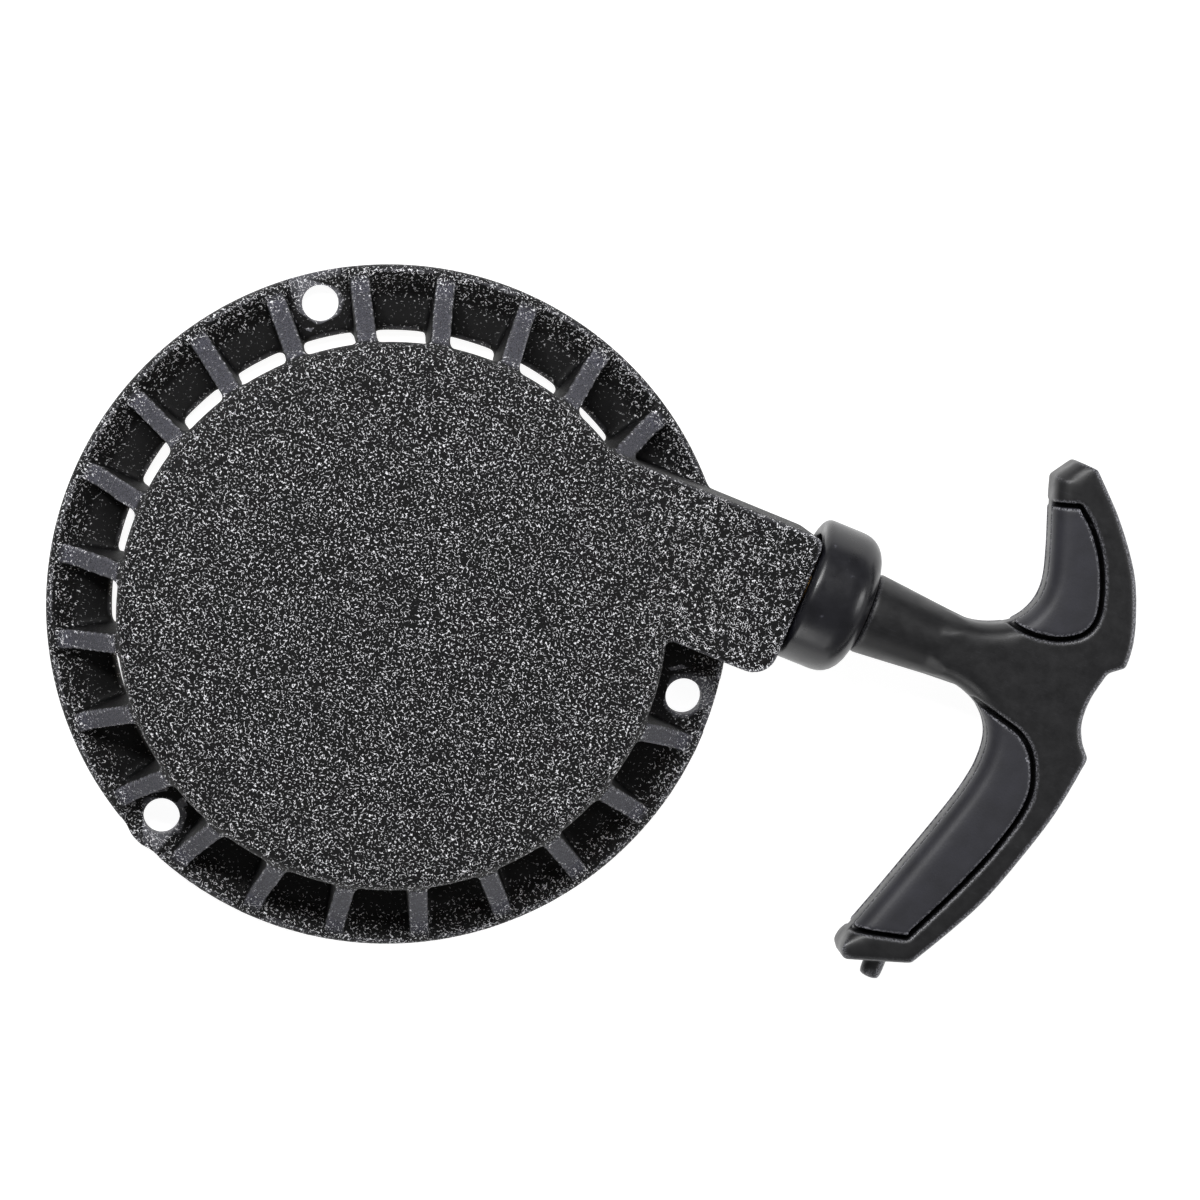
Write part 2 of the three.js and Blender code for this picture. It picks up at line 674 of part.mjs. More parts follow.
// Guide plate: each slot is the way a peg takes while the plate lags behind the reel.
function pawlGuide() {
  const blank = solid(disc(GUIDE_R, GUIDE_BOTTOM_Z, GUIDE_TOP_Z, 48));
  const [below, above] = [GUIDE_BOTTOM_Z - THROUGH, GUIDE_TOP_Z + THROUGH];
  const cuts = [solid(disc(POST_R + RUNNING_GAP, below, above))];
  const steps = 8;
  for (let i = 0; i < PAWL_COUNT; i += 1) {
    for (let k = 0; k <= steps; k += 1) {
      const { x, y } = pegPlace(i, k / steps);
      cuts.push(solid(disc(PEG_R + 1.5 * RUNNING_GAP, below, above, 16).translate(x, y, 0)));
    }
  }
  return cutBy(blank, cuts);
}

// ---------------------------------------------------------------- handle

// Plan outline of the handle. Its arms are uneven, and the far side is notched for the knot.
function handlePlan() {
  const through = (points) => points.map(([x, y]) => new THREE.Vector2(x, y));
  const shape = new THREE.Shape();
  shape.moveTo(27, -7.7);
  shape.splineThru(through([[37.8, -6.8], [44.7, -8.4], [48.9, -11.3], [51.2, -15.1], [51.9, -20],
    [51.5, -25], [49.7, -32.8], [43.7, -52.5], [39.2, -66.3]]));
  shape.lineTo(38.8, -70);
  shape.lineTo(40.3, -72);
  shape.lineTo(54.6, -67.3);
  shape.splineThru(through([[60.5, -56.4], [64.8, -47], [69.2, -33], [71.6, -23], [73.2, -11]]));
  shape.lineTo(70.8, -8.4);
  shape.splineThru(through([[68.9, -4.5], [68.5, 1], [69.9, 8]]));
  shape.lineTo(73.1, 10.5);
  shape.splineThru(through([[72.6, 16], [70.3, 23], [66.4, 30.8], [59, 40], [50.3, 48.2]]));
  shape.lineTo(45.7, 48.4);
  shape.lineTo(42.4, 43.4);
  shape.splineThru(through([[44.2, 38.1], [48, 28], [50, 21], [49.6, 15.8], [47, 11.3], [42.8, 8.6],
    [36.8, 7.2], [27, 7.7]]));
  return shape;
}

// Grip pad outlines: the groove's curve, closed well clear of the arm's inner edge.
const PAD_PLANS = {
  upper: {
    groove: [[49.7, 40.1], [54.6, 36.2], [59.7, 29.3], [63.2, 20],
      [62.3, 14.3], [57.5, 10.6], [51, 9.2], [45.5, 9.6]],
    beyond: [[42, 14], [42, 34], [42.5, 37.5]],
  },
  lower: {
    groove: [[44.6, -7.6], [51.6, -9.4], [57.8, -11.3], [62.4, -16],
      [64.9, -24], [63, -34.8], [58, -48.6], [51.6, -62.8]],
    beyond: [[38, -66.1], [38, -62], [40, -52.5], [46, -33], [48, -20], [46, -14], [43, -9.5]],
  },
};

function padPlan({ groove, beyond }) {
  const curve = new THREE.SplineCurve(groove.map(([x, y]) => new THREE.Vector2(x, y)));
  const outside = beyond.map(([x, y]) => new THREE.Vector2(x, y));
  return [...curve.getPoints(groove.length * 2), ...outside];
}

// The whole grip before the pads are let into it: arms with rounded edges.
function handleBlank() {
  const options = {
    depth: HANDLE_T - 2 * HANDLE_BEVEL,
    bevelThickness: HANDLE_BEVEL,
    bevelSize: HANDLE_BEVEL,
    bevelOffset: -HANDLE_BEVEL,
    bevelSegments: 2,
    curveSegments: 2,
  };
  const arms = new THREE.ExtrudeGeometry(handlePlan(), options);
  return solid(arms.translate(0, 0, HANDLE_BEVEL - HANDLE_T / 2));
}

// Spigot that the buffer is pushed on, a shoulder behind it, and a neck that tapers to the arms.
function stem() {
  const start = BUFFER_CUP_DEPTH + 2 * GAP;
  const shoulder = BUFFER_LENGTH + GAP;
  return solid(alongX(turned([
    [0, start],
    [SPIGOT_R, start],
    [SPIGOT_R, shoulder],
    [STEM_R - 0.8, shoulder],
    [STEM_R, shoulder + 0.8],
    [STEM_R * 0.93, 24],
    [STEM_WAIST_R + 0.4, 33],
    [STEM_WAIST_R, 40],
    [STEM_WAIST_R * 0.9, 50],
    [0, 50],
  ], 28)));
}

function tipNub() {
  const nub = turned([[0, -74.2], [1.4, -74], [TIP_NUB_R, -72.8], [TIP_NUB_R, -66], [0, -66]], 12);
  return solid(nub.rotateX(-QUARTER_TURN).translate(48, 0, 0));
}

// Front is the side away from the engine, and back the side towards it.
function padCutter(name, side, distance, floor) {
  const shape = new THREE.Shape(inset(padPlan(PAD_PLANS[name]), distance));
  const cutter = plate(shape, floor, HANDLE_T);
  return solid(side === 'front' ? cutter : cutter.rotateX(HALF_TURN).scale(1, -1, 1));
}

function gripPads() {
  return Object.keys(PAD_PLANS).flatMap((name) => ['front', 'back'].map((side) => ({ name, side })));
}

function gripPad({ name, side }) {
  return handleBlank().intersect(padCutter(name, side, PAD_GROOVE, PAD_FLOOR + GAP));
}

function handleBody() {
  const bore = alongX(disc(ROPE_BORE_R, 0, KNOT_X, SMALL_FACETS));
  const pocket = alongX(disc(KNOT_POCKET_R, KNOT_POCKET_X, KNOT_X + 4 * KNOT_R, SMALL_FACETS));
  const pads = gripPads().map(({ name, side }) => padCutter(name, side, 0, PAD_FLOOR));
  const grip = cutBy(handleBlank(), pads);
  return cutBy(joined([grip, stem(), tipNub()]), [solid(bore), solid(pocket)]);
}

// Rubber buffer: a round cup over the rope guide, pushed on the handle's spigot.
function handleBuffer() {
  const bore = SPIGOT_R + GAP;
  return solid(alongX(turnedHollow([
    [BUFFER_CUP_R, GAP],
    [BUFFER_R - 1.6, GAP],
    [BUFFER_R - 0.4, 1.2],
    [BUFFER_R, 2.6],
    [BUFFER_R, BUFFER_LENGTH * 0.6],
    [BUFFER_R - 0.7, BUFFER_LENGTH * 0.76],
    [BUFFER_R - 2.6, BUFFER_LENGTH * 0.91],
    [BUFFER_R - 5.4, BUFFER_LENGTH],
    [bore, BUFFER_LENGTH],
    [bore, BUFFER_CUP_DEPTH],
    [BUFFER_CUP_R - 1, BUFFER_CUP_DEPTH],
    [BUFFER_CUP_R, BUFFER_CUP_DEPTH - 1],
  ], 40)));
}

function knotWasher() {
  const start = KNOT_POCKET_X + GAP;
  const end = start + KNOT_WASHER_T;
  return solid(alongX(sleeve(ROPE_D / 2 + GAP, KNOT_POCKET_R - GAP, start, end, SMALL_FACETS)));
}

function handleKnot() {
  return solid(new THREE.SphereGeometry(KNOT_R, 14, 10).translate(KNOT_X, 0, 0));
}

// The stretch of rope from the top of the reel to the knot in the handle.
function ropeLead() {
  const section = new THREE.Shape();
  section.absarc(0, 0, ROPE_D / 2, 0, FULL_TURN);
  const start = 3 * GAP - NECK_END_X;
  const end = KNOT_POCKET_X + KNOT_WASHER_T + GAP;
  return solid(alongX(plate(section, start, end, ROPE_SIDES / 2)));
}

// ---------------------------------------------------------------- assembly

const group = new THREE.Group();

place(group, 'housing', housing(), 'crinkle_black');
place(group, 'rope_guide_bush', ropeGuideBush(), 'zinc_steel').position.set(NECK_END_X, PULL_Y, PULL_Z);
place(group, 'spring_cup', springCup(), 'zinc_steel');
place(group, 'recoil_spring', recoilSpring(), 'spring_steel');
place(group, 'centre_screw', centreScrew(), 'zinc_steel');
place(group, 'centre_washer', centreWasher(), 'zinc_steel');
place(group, 'friction_spring', frictionSpring(), 'spring_steel');

place(group, 'reel', reel(), 'reel_nylon');
place(group, 'reel_bushing', reelBushing(), 'sintered_bronze');
place(group, 'rope_windings', ropeWindings(), 'rope_nylon');
place(group, 'rope_reel_knot', ropeReelKnot(), 'rope_nylon');
place(group, 'pawl_guide', pawlGuide(), 'guide_nylon');
for (let i = 0; i < PAWL_COUNT; i += 1) {
  const station = new THREE.Group();
  station.position.set(...polar(PAWL_PIN_RING_R, pawlAngle(i), 0));
  station.rotation.z = pawlAngle(i) - QUARTER_TURN;
  place(station, `pawl_${i + 1}`, pawl(), 'zinc_steel');
  place(station, `pawl_pin_${i + 1}`, pawlPin(), 'zinc_steel');
  place(station, `pawl_spring_${i + 1}`, pawlSpring(), 'spring_steel');
  group.add(station);
}

const handle = new THREE.Group();
handle.position.set(NECK_END_X, PULL_Y, PULL_Z);
place(handle, 'handle_body', handleBody(), 'satin_plastic');
place(handle, 'handle_buffer', handleBuffer(), 'buffer_rubber');
for (const pad of gripPads()) {
  place(handle, `${pad.name}_grip_pad_${pad.side}`, gripPad(pad), 'grip_plastic');
}
place(handle, 'knot_washer', knotWasher(), 'zinc_steel');
place(handle, 'handle_knot', handleKnot(), 'rope_nylon');
place(handle, 'rope_lead', ropeLead(), 'rope_nylon');
group.add(handle);

export default group;
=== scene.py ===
import math

import bpy
from mathutils import Matrix, Vector


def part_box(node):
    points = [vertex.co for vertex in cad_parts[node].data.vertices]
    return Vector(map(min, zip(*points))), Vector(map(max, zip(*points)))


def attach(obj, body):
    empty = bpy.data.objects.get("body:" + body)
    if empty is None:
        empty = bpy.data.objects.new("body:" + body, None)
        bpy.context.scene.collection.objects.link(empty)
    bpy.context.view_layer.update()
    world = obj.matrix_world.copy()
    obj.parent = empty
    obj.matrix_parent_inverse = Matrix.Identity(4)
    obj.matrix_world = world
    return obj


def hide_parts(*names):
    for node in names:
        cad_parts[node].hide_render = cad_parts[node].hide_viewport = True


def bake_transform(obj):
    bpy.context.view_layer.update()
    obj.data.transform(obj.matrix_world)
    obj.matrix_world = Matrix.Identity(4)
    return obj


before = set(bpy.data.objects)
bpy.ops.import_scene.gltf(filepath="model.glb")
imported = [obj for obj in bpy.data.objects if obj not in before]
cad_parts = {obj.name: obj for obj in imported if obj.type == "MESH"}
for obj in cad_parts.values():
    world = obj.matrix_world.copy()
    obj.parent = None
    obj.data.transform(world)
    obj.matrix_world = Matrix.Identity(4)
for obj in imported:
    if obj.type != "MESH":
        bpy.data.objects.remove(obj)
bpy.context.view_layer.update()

# ------------------------------------------------------------------ camera
# The starter lies on its bolting face and is looked down on from a metre away, leaning a
# little to its upper left, with the pull direction running down to the right.
TILT = math.radians(7.53)
LEAN = math.radians(148.95)
ROLL = math.radians(22.56)
LENS_MM = 137.5
DISTANCE = 1.0
AIM = Vector((0.04127, 0.01952, 0.015))

towards = Vector((math.sin(TILT) * math.cos(LEAN), math.sin(TILT) * math.sin(LEAN), math.cos(TILT)))
up = Vector((-math.sin(ROLL), math.cos(ROLL), 0))
up = (up - towards * up.dot(towards)).normalized()
across = up.cross(towards)
bpy.ops.object.camera_add(location=AIM + towards * DISTANCE)
camera = bpy.context.object
camera.rotation_euler = Matrix((across, up, towards)).transposed().to_euler()
camera.data.sensor_width = 36
camera.data.lens = LENS_MM
camera.data.clip_start = 0.01
bpy.context.scene.camera = camera


# ------------------------------------------------------------------ floor and light
# A light table of white acrylic, clear when seen from below, with a broad softbox over the
# top of the picture, a smaller key lamp, and weak fills round and under the starter.
def linear(hex_colour):
    """An sRGB colour such as 0x2A2A2C, as the linear RGBA that a shader wants."""
    channels = [(hex_colour >> shift & 0xFF) / 255 for shift in (16, 8, 0)]
    return [c / 12.92 if c <= 0.04045 else ((c + 0.055) / 1.055) ** 2.4 for c in channels] + [1]


def add_node(material, kind, settings=None, inputs=None):
    """Adds a shader node, with its settings, and with values or links into its sockets. A node
    given as a value is linked from its first output."""
    tree = material.node_tree
    node = tree.nodes.new("ShaderNode" + kind)
    for name, value in (settings or {}).items():
        setattr(node, name, value)
    for name, value in (inputs or {}).items():
        if isinstance(value, bpy.types.Node):
            value = value.outputs[0]
        if isinstance(value, bpy.types.NodeSocket):
            tree.links.new(value, node.inputs[name])
        else:
            node.inputs[name].default_value = value
    return node


def blank_material(name):
    """A new material with its nodes cleared."""
    material = bpy.data.materials.new(name)
    material.use_nodes = True
    material.node_tree.nodes.clear()
    return material


FLOOR_DROP = 0.0004
FLOOR_GLOW = 0.93
bpy.ops.mesh.primitive_plane_add(size=60, location=(0, 0, -FLOOR_DROP))
floor = bpy.context.object
floor.name = "light_table"
floor.visible_shadow = False
acrylic = blank_material("opal_acrylic_sheet")
sheet = add_node(acrylic, "BsdfDiffuse", inputs={"Color": linear(0x9A9A9A)})
glow = add_node(acrylic, "Emission", inputs={"Color": linear(0xFFFFFF), "Strength": FLOOR_GLOW})
lit = add_node(acrylic, "AddShader", inputs={0: sheet, 1: glow})
clear = add_node(acrylic, "BsdfTransparent")
facing = add_node(acrylic, "NewGeometry")
shown = add_node(acrylic, "MixShader", inputs={
    "Fac": facing.outputs["Backfacing"], 1: lit, 2: clear})
add_node(acrylic, "OutputMaterial", inputs={"Surface": shown})
floor.data.materials.append(acrylic)


def add_softbox(name, place, size, watts):
    """A square area light facing the starter."""
    bpy.ops.object.light_add(type="AREA", location=place)
    lamp = bpy.context.object
    lamp.name = name
    lamp.data.shape = "SQUARE"
    lamp.data.size = size
    lamp.data.energy = watts
    lamp.rotation_euler = (Vector(place) - AIM).to_track_quat("Z", "Y").to_euler()


add_softbox("overhead_softbox", (-0.35, 0.75, 1.2), 0.6, 12)
add_softbox("side_softbox", (1.1, 0.3, 0.6), 0.4, 4)
add_softbox("key_lamp", (-0.55, 0.35, 0.9), 0.12, 5)
add_softbox("front_fill", (0.1, -1.1, 0.5), 0.5, 2.5)
add_softbox("under_fill", (0.05, 0, -1.0), 1.0, 4.5)

world = bpy.data.worlds.new("studio_air")
bpy.context.scene.world = world
world.use_nodes = True
world.node_tree.nodes["Background"].inputs["Color"].default_value = linear(0xFFFFFF)
world.node_tree.nodes["Background"].inputs["Strength"].default_value = 0.22
bpy.context.scene.view_settings.view_transform = "Standard"

# ------------------------------------------------------------------ housing
# One aluminium die casting: a drum top held over a bolted ring by radial ribs, with the neck
# for the rope. Its edges and inside corners are soft from the die and from the thick coat;
# the bolt holes and their pads are machined afterwards.
MM = 0.001
housing_low, housing_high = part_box("housing")
lead_low, lead_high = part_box("rope_lead")
TOP_Z = housing_high.z / MM
NECK_END_X = housing_high.x / MM
PULL_Y = (lead_low.y + lead_high.y) / 2 / MM
PULL_Z = (lead_low.z + lead_high.z) / 2 / MM
RING_R = -housing_low.x / MM
RING_INNER_R = RING_R - 14.3
DRUM_R = RING_INNER_R - 1.5
CAVITY_R = DRUM_R - 3.2
TOP_INNER_Z = TOP_Z - 2.7
DRUM_EDGE_ROUND = 3.5
RIM_DEPTH = 7
FLOOR_T = 4
LIP_Z = 7
HOLE_CIRCLE_R = RING_INNER_R + 7.5
HOLE_R = 4
CLEAR_HALF_WIDTH = 6.2
SPOT_FACE_R = 6.5
HOLE_ANGLES = [5, 125, 245]
RIB_T = 4.3
RIB_ANGLES = [12.5 + 15 * i for i in range(3, 24)]
NECK_TOP_Z = TOP_Z - 1.5
NECK_WALL = 3.2
NECK_OFFSET = 4.6
NECK_HALF_WIDTH = 16.4
NECK_LOW_Y = PULL_Y - NECK_OFFSET - NECK_HALF_WIDTH
NECK_HIGH_Y = PULL_Y - NECK_OFFSET + NECK_HALF_WIDTH
EAR_R = 7.8
BUSH_HOLE_R = 5.15
SCREW_HOLE_R = 2.8
SCREW_HOLE_TOP_Z = 20.3
CASTING_TRIANGLES = 185000
SHARP_DEGREES = 40


def pick(*objects):
    """Leaves edit mode and selects only these objects, the first of them active."""
    if bpy.context.object and bpy.context.object.mode != "OBJECT":
        bpy.ops.object.mode_set(mode="OBJECT")
    bpy.ops.object.select_all(action="DESELECT")
    for obj in objects:
        obj.select_set(True)
    bpy.context.view_layer.objects.active = objects[0] if objects else None


def tidied(obj):
    """Welds doubles, turns the faces outwards and puts the object's origin at the frame's."""
    pick(obj)
    bpy.ops.object.mode_set(mode="EDIT")
    bpy.ops.mesh.select_all(action="SELECT")
    bpy.ops.mesh.remove_doubles(threshold=1e-6)
    bpy.ops.mesh.normals_make_consistent(inside=False)
    bpy.ops.object.mode_set(mode="OBJECT")
    bpy.ops.object.transform_apply(location=True, rotation=True, scale=True)
    return obj


def turned(name, profile, sides=96, hollow=False):
    """Turns a profile of (radius, height) points in mm about Z, by extruding a circle up it."""
    pick()
    radius, height = profile[0]
    bpy.ops.mesh.primitive_circle_add(vertices=sides, radius=radius * MM, location=(0, 0, height * MM))
    obj = bpy.context.object
    obj.name = name
    bpy.ops.object.mode_set(mode="EDIT")
    bpy.ops.mesh.select_all(action="SELECT")
    for (r, z), (next_r, next_z) in zip(profile, profile[1:]):
        bpy.ops.mesh.extrude_region_move(TRANSFORM_OT_translate={"value": (0, 0, (next_z - z) * MM)})
        bpy.ops.transform.resize(value=(next_r / r, next_r / r, 1), center_override=(0, 0, 0))
    bpy.ops.mesh.select_all(action="DESELECT")
    bpy.ops.mesh.select_non_manifold(extend=False)
    if hollow:
        bpy.ops.mesh.bridge_edge_loops()
    else:
        bpy.ops.mesh.fill_holes(sides=0)
    return tidied(obj)


def plate(name, outline, bottom, top):
    """A plate with a drawn outline of (x, y) points in mm: a ring of corners, filled and extruded."""
    pick()
    bpy.ops.mesh.primitive_circle_add(vertices=len(outline), radius=MM, fill_type="NGON")
    obj = bpy.context.object
    obj.name = name
    for vertex, (x, y) in zip(obj.data.vertices, outline):
        vertex.co = (x * MM, y * MM, bottom * MM)
    bpy.ops.object.mode_set(mode="EDIT")
    bpy.ops.mesh.select_all(action="SELECT")
    bpy.ops.mesh.extrude_region_move(TRANSFORM_OT_translate={"value": (0, 0, (top - bottom) * MM)})
    return tidied(obj)


def moved(obj, shift=(0, 0, 0), turn=(0, 0, 0)):
    """Turns the piece about the frame's origin, in degrees, then shifts it, in mm."""
    obj.rotation_euler = [math.radians(angle) for angle in turn]
    obj.location = [distance * MM for distance in shift]
    pick(obj)
    bpy.ops.object.transform_apply(location=True, rotation=True, scale=True)
    return obj


def along_x(obj, shift=(0, 0, 0)):
    """Lays a piece turned about Z down along X."""
    return moved(obj, shift, (0, 90, 0))


def worked(obj, kind, **settings):
    """Adds a modifier and applies it."""
    pick(obj)
    modifier = obj.modifiers.new(kind.lower(), kind)
    for name, value in settings.items():
        setattr(modifier, name, value)
    bpy.ops.object.modifier_apply(modifier=modifier.name)
    return obj


def cut(obj, *tools, operation="DIFFERENCE"):
    """Cuts the tools out of a body, or keeps what they share with it, and removes them."""
    for tool in tools:
        worked(obj, "BOOLEAN", operation=operation, object=tool, solver="MANIFOLD")
        bpy.data.objects.remove(tool, do_unlink=True)
    return obj


def fused(name, parts, voxel, passes, factor=0.5):
    """Melts overlapping bodies into one skin with soft inside corners."""
    pick(*parts)
    bpy.ops.object.join()
    obj = bpy.context.object
    obj.name = name
    worked(obj, "REMESH", mode="VOXEL", voxel_size=voxel * MM, use_smooth_shade=True)
    return worked(obj, "SMOOTH", factor=factor, iterations=passes)


def thinned(obj, triangles):
    """Melts away what flat faces don't need, down to about this many triangles."""
    now = sum(len(face.vertices) - 2 for face in obj.data.polygons)
    if now > triangles:
        worked(obj, "DECIMATE", ratio=triangles / now)
    return obj


def shaded(obj, degrees=SHARP_DEGREES):
    pick(obj)
    bpy.ops.object.shade_smooth_by_angle(angle=math.radians(degrees))
    return obj


def rounded(obj, width):
    """Rounds a piece's sharp edges by a width in mm."""
    return worked(obj, "BEVEL", width=width * MM, segments=2, limit_method="ANGLE",
                  angle_limit=math.radians(SHARP_DEGREES))


def painted(obj, material):
    """Gives the whole piece one material."""
    obj.data.materials.clear()
    obj.data.materials.append(material)
    obj.data.polygons.foreach_set("material_index", [0] * len(obj.data.polygons))
    return obj


def fixed(obj, body, node, material, edge=0, smooth=SHARP_DEGREES):
    """Rounds a finished piece's sharp edges by edge mm, smooths and paints it, and hands it over."""
    if edge:
        rounded(obj, edge)
    shaded(obj, smooth)
    painted(obj, material)
    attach(obj, body)
    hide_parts(node)
    return obj


def at_angle(r, degrees):
    angle = math.radians(degrees)
    return r * math.cos(angle), r * math.sin(angle)


def arc(centre, r, start, end, steps=6):
    """Points of an arc, in mm, from one angle to another in degrees."""
    turns = [at_angle(r, start + (end - start) * i / steps) for i in range(steps + 1)]
    return [(centre[0] + x, centre[1] + y) for x, y in turns]


ring = turned("ring", [
    (RING_INNER_R, 0), (RING_R, 0), (RING_R, LIP_Z - 1.2), (RING_R - 1, LIP_Z - 0.1),
    (RING_R - 1.7, LIP_Z - 0.3), (RING_R - 4, LIP_Z - 1.7), (RING_R - 6.5, FLOOR_T),
    (RING_INNER_R, FLOOR_T)], 192, hollow=True)
drum = turned("drum", [
    (0.05, TOP_INNER_Z), (CAVITY_R, TOP_INNER_Z), (CAVITY_R, TOP_Z - RIM_DEPTH),
    (DRUM_R, TOP_Z - RIM_DEPTH),
    *arc((DRUM_R - DRUM_EDGE_ROUND, TOP_Z - DRUM_EDGE_ROUND), DRUM_EDGE_ROUND, 0, 90, 8),
    (0.05, TOP_Z)], 192)
post = turned("post", [(6, 5), (6, TOP_INNER_Z - 1.2), (6.7, TOP_INNER_Z + 1)], 48)
seat = turned("seat", [
    (30.3, TOP_INNER_Z - 3), (31.9, TOP_INNER_Z - 3), (31.9, TOP_INNER_Z + 1),
    (30.3, TOP_INNER_Z + 1)], hollow=True)

RIB_SIDE = [
    (DRUM_R - 1.2, 0.8), (RING_R - 0.8, 0.8), (RING_R - 0.8, LIP_Z - 0.8), (RING_R - 1.6, LIP_Z + 0.4),
    (RING_R - 5, LIP_Z + 2.4), (DRUM_R + 0.8, TOP_Z - DRUM_EDGE_ROUND), (DRUM_R - 1.2, TOP_Z - 2.3)]
ribs = []
for degrees in RIB_ANGLES:
    blade = moved(plate("rib", RIB_SIDE, -RIB_T / 2, RIB_T / 2), turn=(90, 0, 0))
    ribs.append(moved(blade, turn=(0, 0, degrees)))

neck = plate("neck", [
    (25, NECK_LOW_Y),
    *arc((NECK_END_X - 5.5, NECK_LOW_Y + 5.5), 5.5, -90, 0),
    *arc((NECK_END_X - 2.5, NECK_HIGH_Y - 2.5), 2.5, 0, 90),
    (25, NECK_HIGH_Y)], 0, NECK_TOP_Z)
cut(neck,
    plate("passage", [
        (20, NECK_LOW_Y + NECK_WALL), (NECK_END_X - NECK_WALL, NECK_LOW_Y + NECK_WALL),
        (NECK_END_X - NECK_WALL, NECK_HIGH_Y - NECK_WALL), (20, NECK_HIGH_Y - NECK_WALL)],
        -1, NECK_TOP_Z - NECK_WALL),
    turned("cavity", [(CAVITY_R, -1), (CAVITY_R, TOP_INNER_Z)]))
ear = moved(turned("ear", [(EAR_R, 0), (EAR_R, FLOOR_T)], 48),
            (*at_angle(HOLE_CIRCLE_R, HOLE_ANGLES[-1]), 0))

casting = fused("housing_casting", [drum, ring, neck, post, seat, *ribs, ear],
                voxel=0.68, passes=4)
thinned(casting, CASTING_TRIANGLES)
for degrees in HOLE_ANGLES:
    clearance = plate("lip_clearance", [
        (HOLE_CIRCLE_R, -CLEAR_HALF_WIDTH), (RING_R + 1, -CLEAR_HALF_WIDTH),
        (RING_R + 1, CLEAR_HALF_WIDTH), (HOLE_CIRCLE_R, CLEAR_HALF_WIDTH)], FLOOR_T, LIP_Z + 4)
    cut(casting, moved(clearance, turn=(0, 0, degrees)))
    place = (*at_angle(HOLE_CIRCLE_R, degrees), 0)
    cut(casting,
        moved(turned("spot_face", [(SPOT_FACE_R, FLOOR_T), (SPOT_FACE_R, LIP_Z + 4)], 64), place),
        moved(turned("bolt_hole", [(HOLE_R, -2), (HOLE_R, LIP_Z + 4)], 64), place))
cut(casting,
    along_x(turned("bush_hole", [
        (BUSH_HOLE_R, NECK_END_X - 8), (BUSH_HOLE_R, NECK_END_X + 2)], 64), (0, PULL_Y, PULL_Z)),
    turned("screw_hole", [(SCREW_HOLE_R, 3), (SCREW_HOLE_R, SCREW_HOLE_TOP_Z)], 48))

# Black crinkle paint baked on the casting. Its wrinkles stand about 0.6 mm apart, and white
# flecks on their glossy crests are painted highlights in the base colour: dense on the top, the lip,
# faces turned up and the edges, and few in the deep pockets as painted shade. Convex edges are
# also painted paler grey as a highlight, and the rib tops, where they face up, as light falling on them.
WRINKLE_MM = 0.6
GRIT_MM = 0.3
PATCH_MM = 5
crinkle = blank_material("black_crinkle_paint_on_die_cast_aluminium")
place = add_node(crinkle, "TexCoord")
spot = add_node(crinkle, "SeparateXYZ", inputs={0: place.outputs["Object"]})
facing = add_node(crinkle, "SeparateXYZ", inputs={0: place.outputs["Normal"]})
in_plan = add_node(crinkle, "VectorMath", {"operation": "MULTIPLY"},
                   {0: place.outputs["Object"], 1: (1, 1, 0)})
radius = add_node(crinkle, "VectorMath", {"operation": "LENGTH"}, {0: in_plan})
grit = add_node(crinkle, "TexNoise", inputs={
    "Vector": place.outputs["Object"], "Scale": 1 / (GRIT_MM * MM), "Detail": 1})
patches = add_node(crinkle, "TexNoise", inputs={
    "Vector": place.outputs["Object"], "Scale": 1 / (PATCH_MM * MM), "Detail": 3, "Roughness": 0.6})
crests = add_node(crinkle, "TexNoise", inputs={
    "Vector": place.outputs["Object"], "Scale": 1 / (WRINKLE_MM * MM), "Detail": 0.6})
each = add_node(crinkle, "SeparateXYZ", inputs={0: crests.outputs["Color"]})
fold = add_node(crinkle, "Math", {"operation": "SUBTRACT"}, {0: each.outputs["X"], 1: 0.5})
ridge = add_node(crinkle, "Math", {"operation": "ABSOLUTE"}, {0: fold})
breaks = add_node(crinkle, "MapRange", inputs={
    "Value": each.outputs["Y"], 1: 0.36, 2: 0.64, 3: 0.0, 4: 1.0})
edges = add_node(crinkle, "NewGeometry")
on_edge = add_node(crinkle, "MapRange", inputs={
    "Value": edges.outputs["Pointiness"], 1: 0.512, 2: 0.545, 3: 0.0, 4: 1.0})

# Density of the painted highlight flecks: high on the top, the outer lip, faces turned up and convex edges;
# low in the pockets and on faces turned down, as painted shade.
on_top = add_node(crinkle, "MapRange", inputs={
    "Value": spot.outputs["Z"], 1: 0.0245, 2: 0.0275, 3: 0.0, 4: 0.55})
on_lip = add_node(crinkle, "MapRange", inputs={
    "Value": radius.outputs["Value"], 1: 0.0655, 2: 0.0725, 3: 0.01, 4: 0.5})
lit_zone = add_node(crinkle, "Math", {"operation": "MAXIMUM"}, {0: on_top, 1: on_lip})
facing_up = add_node(crinkle, "MapRange", inputs={
    "Value": facing.outputs["Z"], 1: -0.1, 2: 0.75, 3: 0.12, 4: 1.0})
lit_facing_up = add_node(crinkle, "Math", {"operation": "MULTIPLY"}, {0: lit_zone, 1: facing_up})
uneven = add_node(crinkle, "MapRange", inputs={
    "Value": patches.outputs["Fac"], 1: 0.3, 2: 0.45, 3: 0.6, 4: 1.0})
highlight_density = add_node(crinkle, "Math", {"operation": "MULTIPLY"}, {0: lit_facing_up, 1: uneven})
on_edges = add_node(crinkle, "Math", {"operation": "MULTIPLY"}, {0: on_edge, 1: 0.3})
highlight_cover = add_node(crinkle, "Math", {"operation": "ADD"}, {0: highlight_density, 1: on_edges})
shows = add_node(crinkle, "Math", {"operation": "SUBTRACT"}, {0: highlight_cover, 1: breaks})
bright = add_node(crinkle, "MapRange", inputs={
    "Value": shows, 1: -0.04, 2: 0.3, 3: 0.0, 4: 1.0})
crest = add_node(crinkle, "MapRange", inputs={
    "Value": ridge, 1: 0.044, 2: 0.016, 3: 0.0, 4: 1.0})
glint = add_node(crinkle, "Math", {"operation": "MULTIPLY"}, {0: bright, 1: crest})
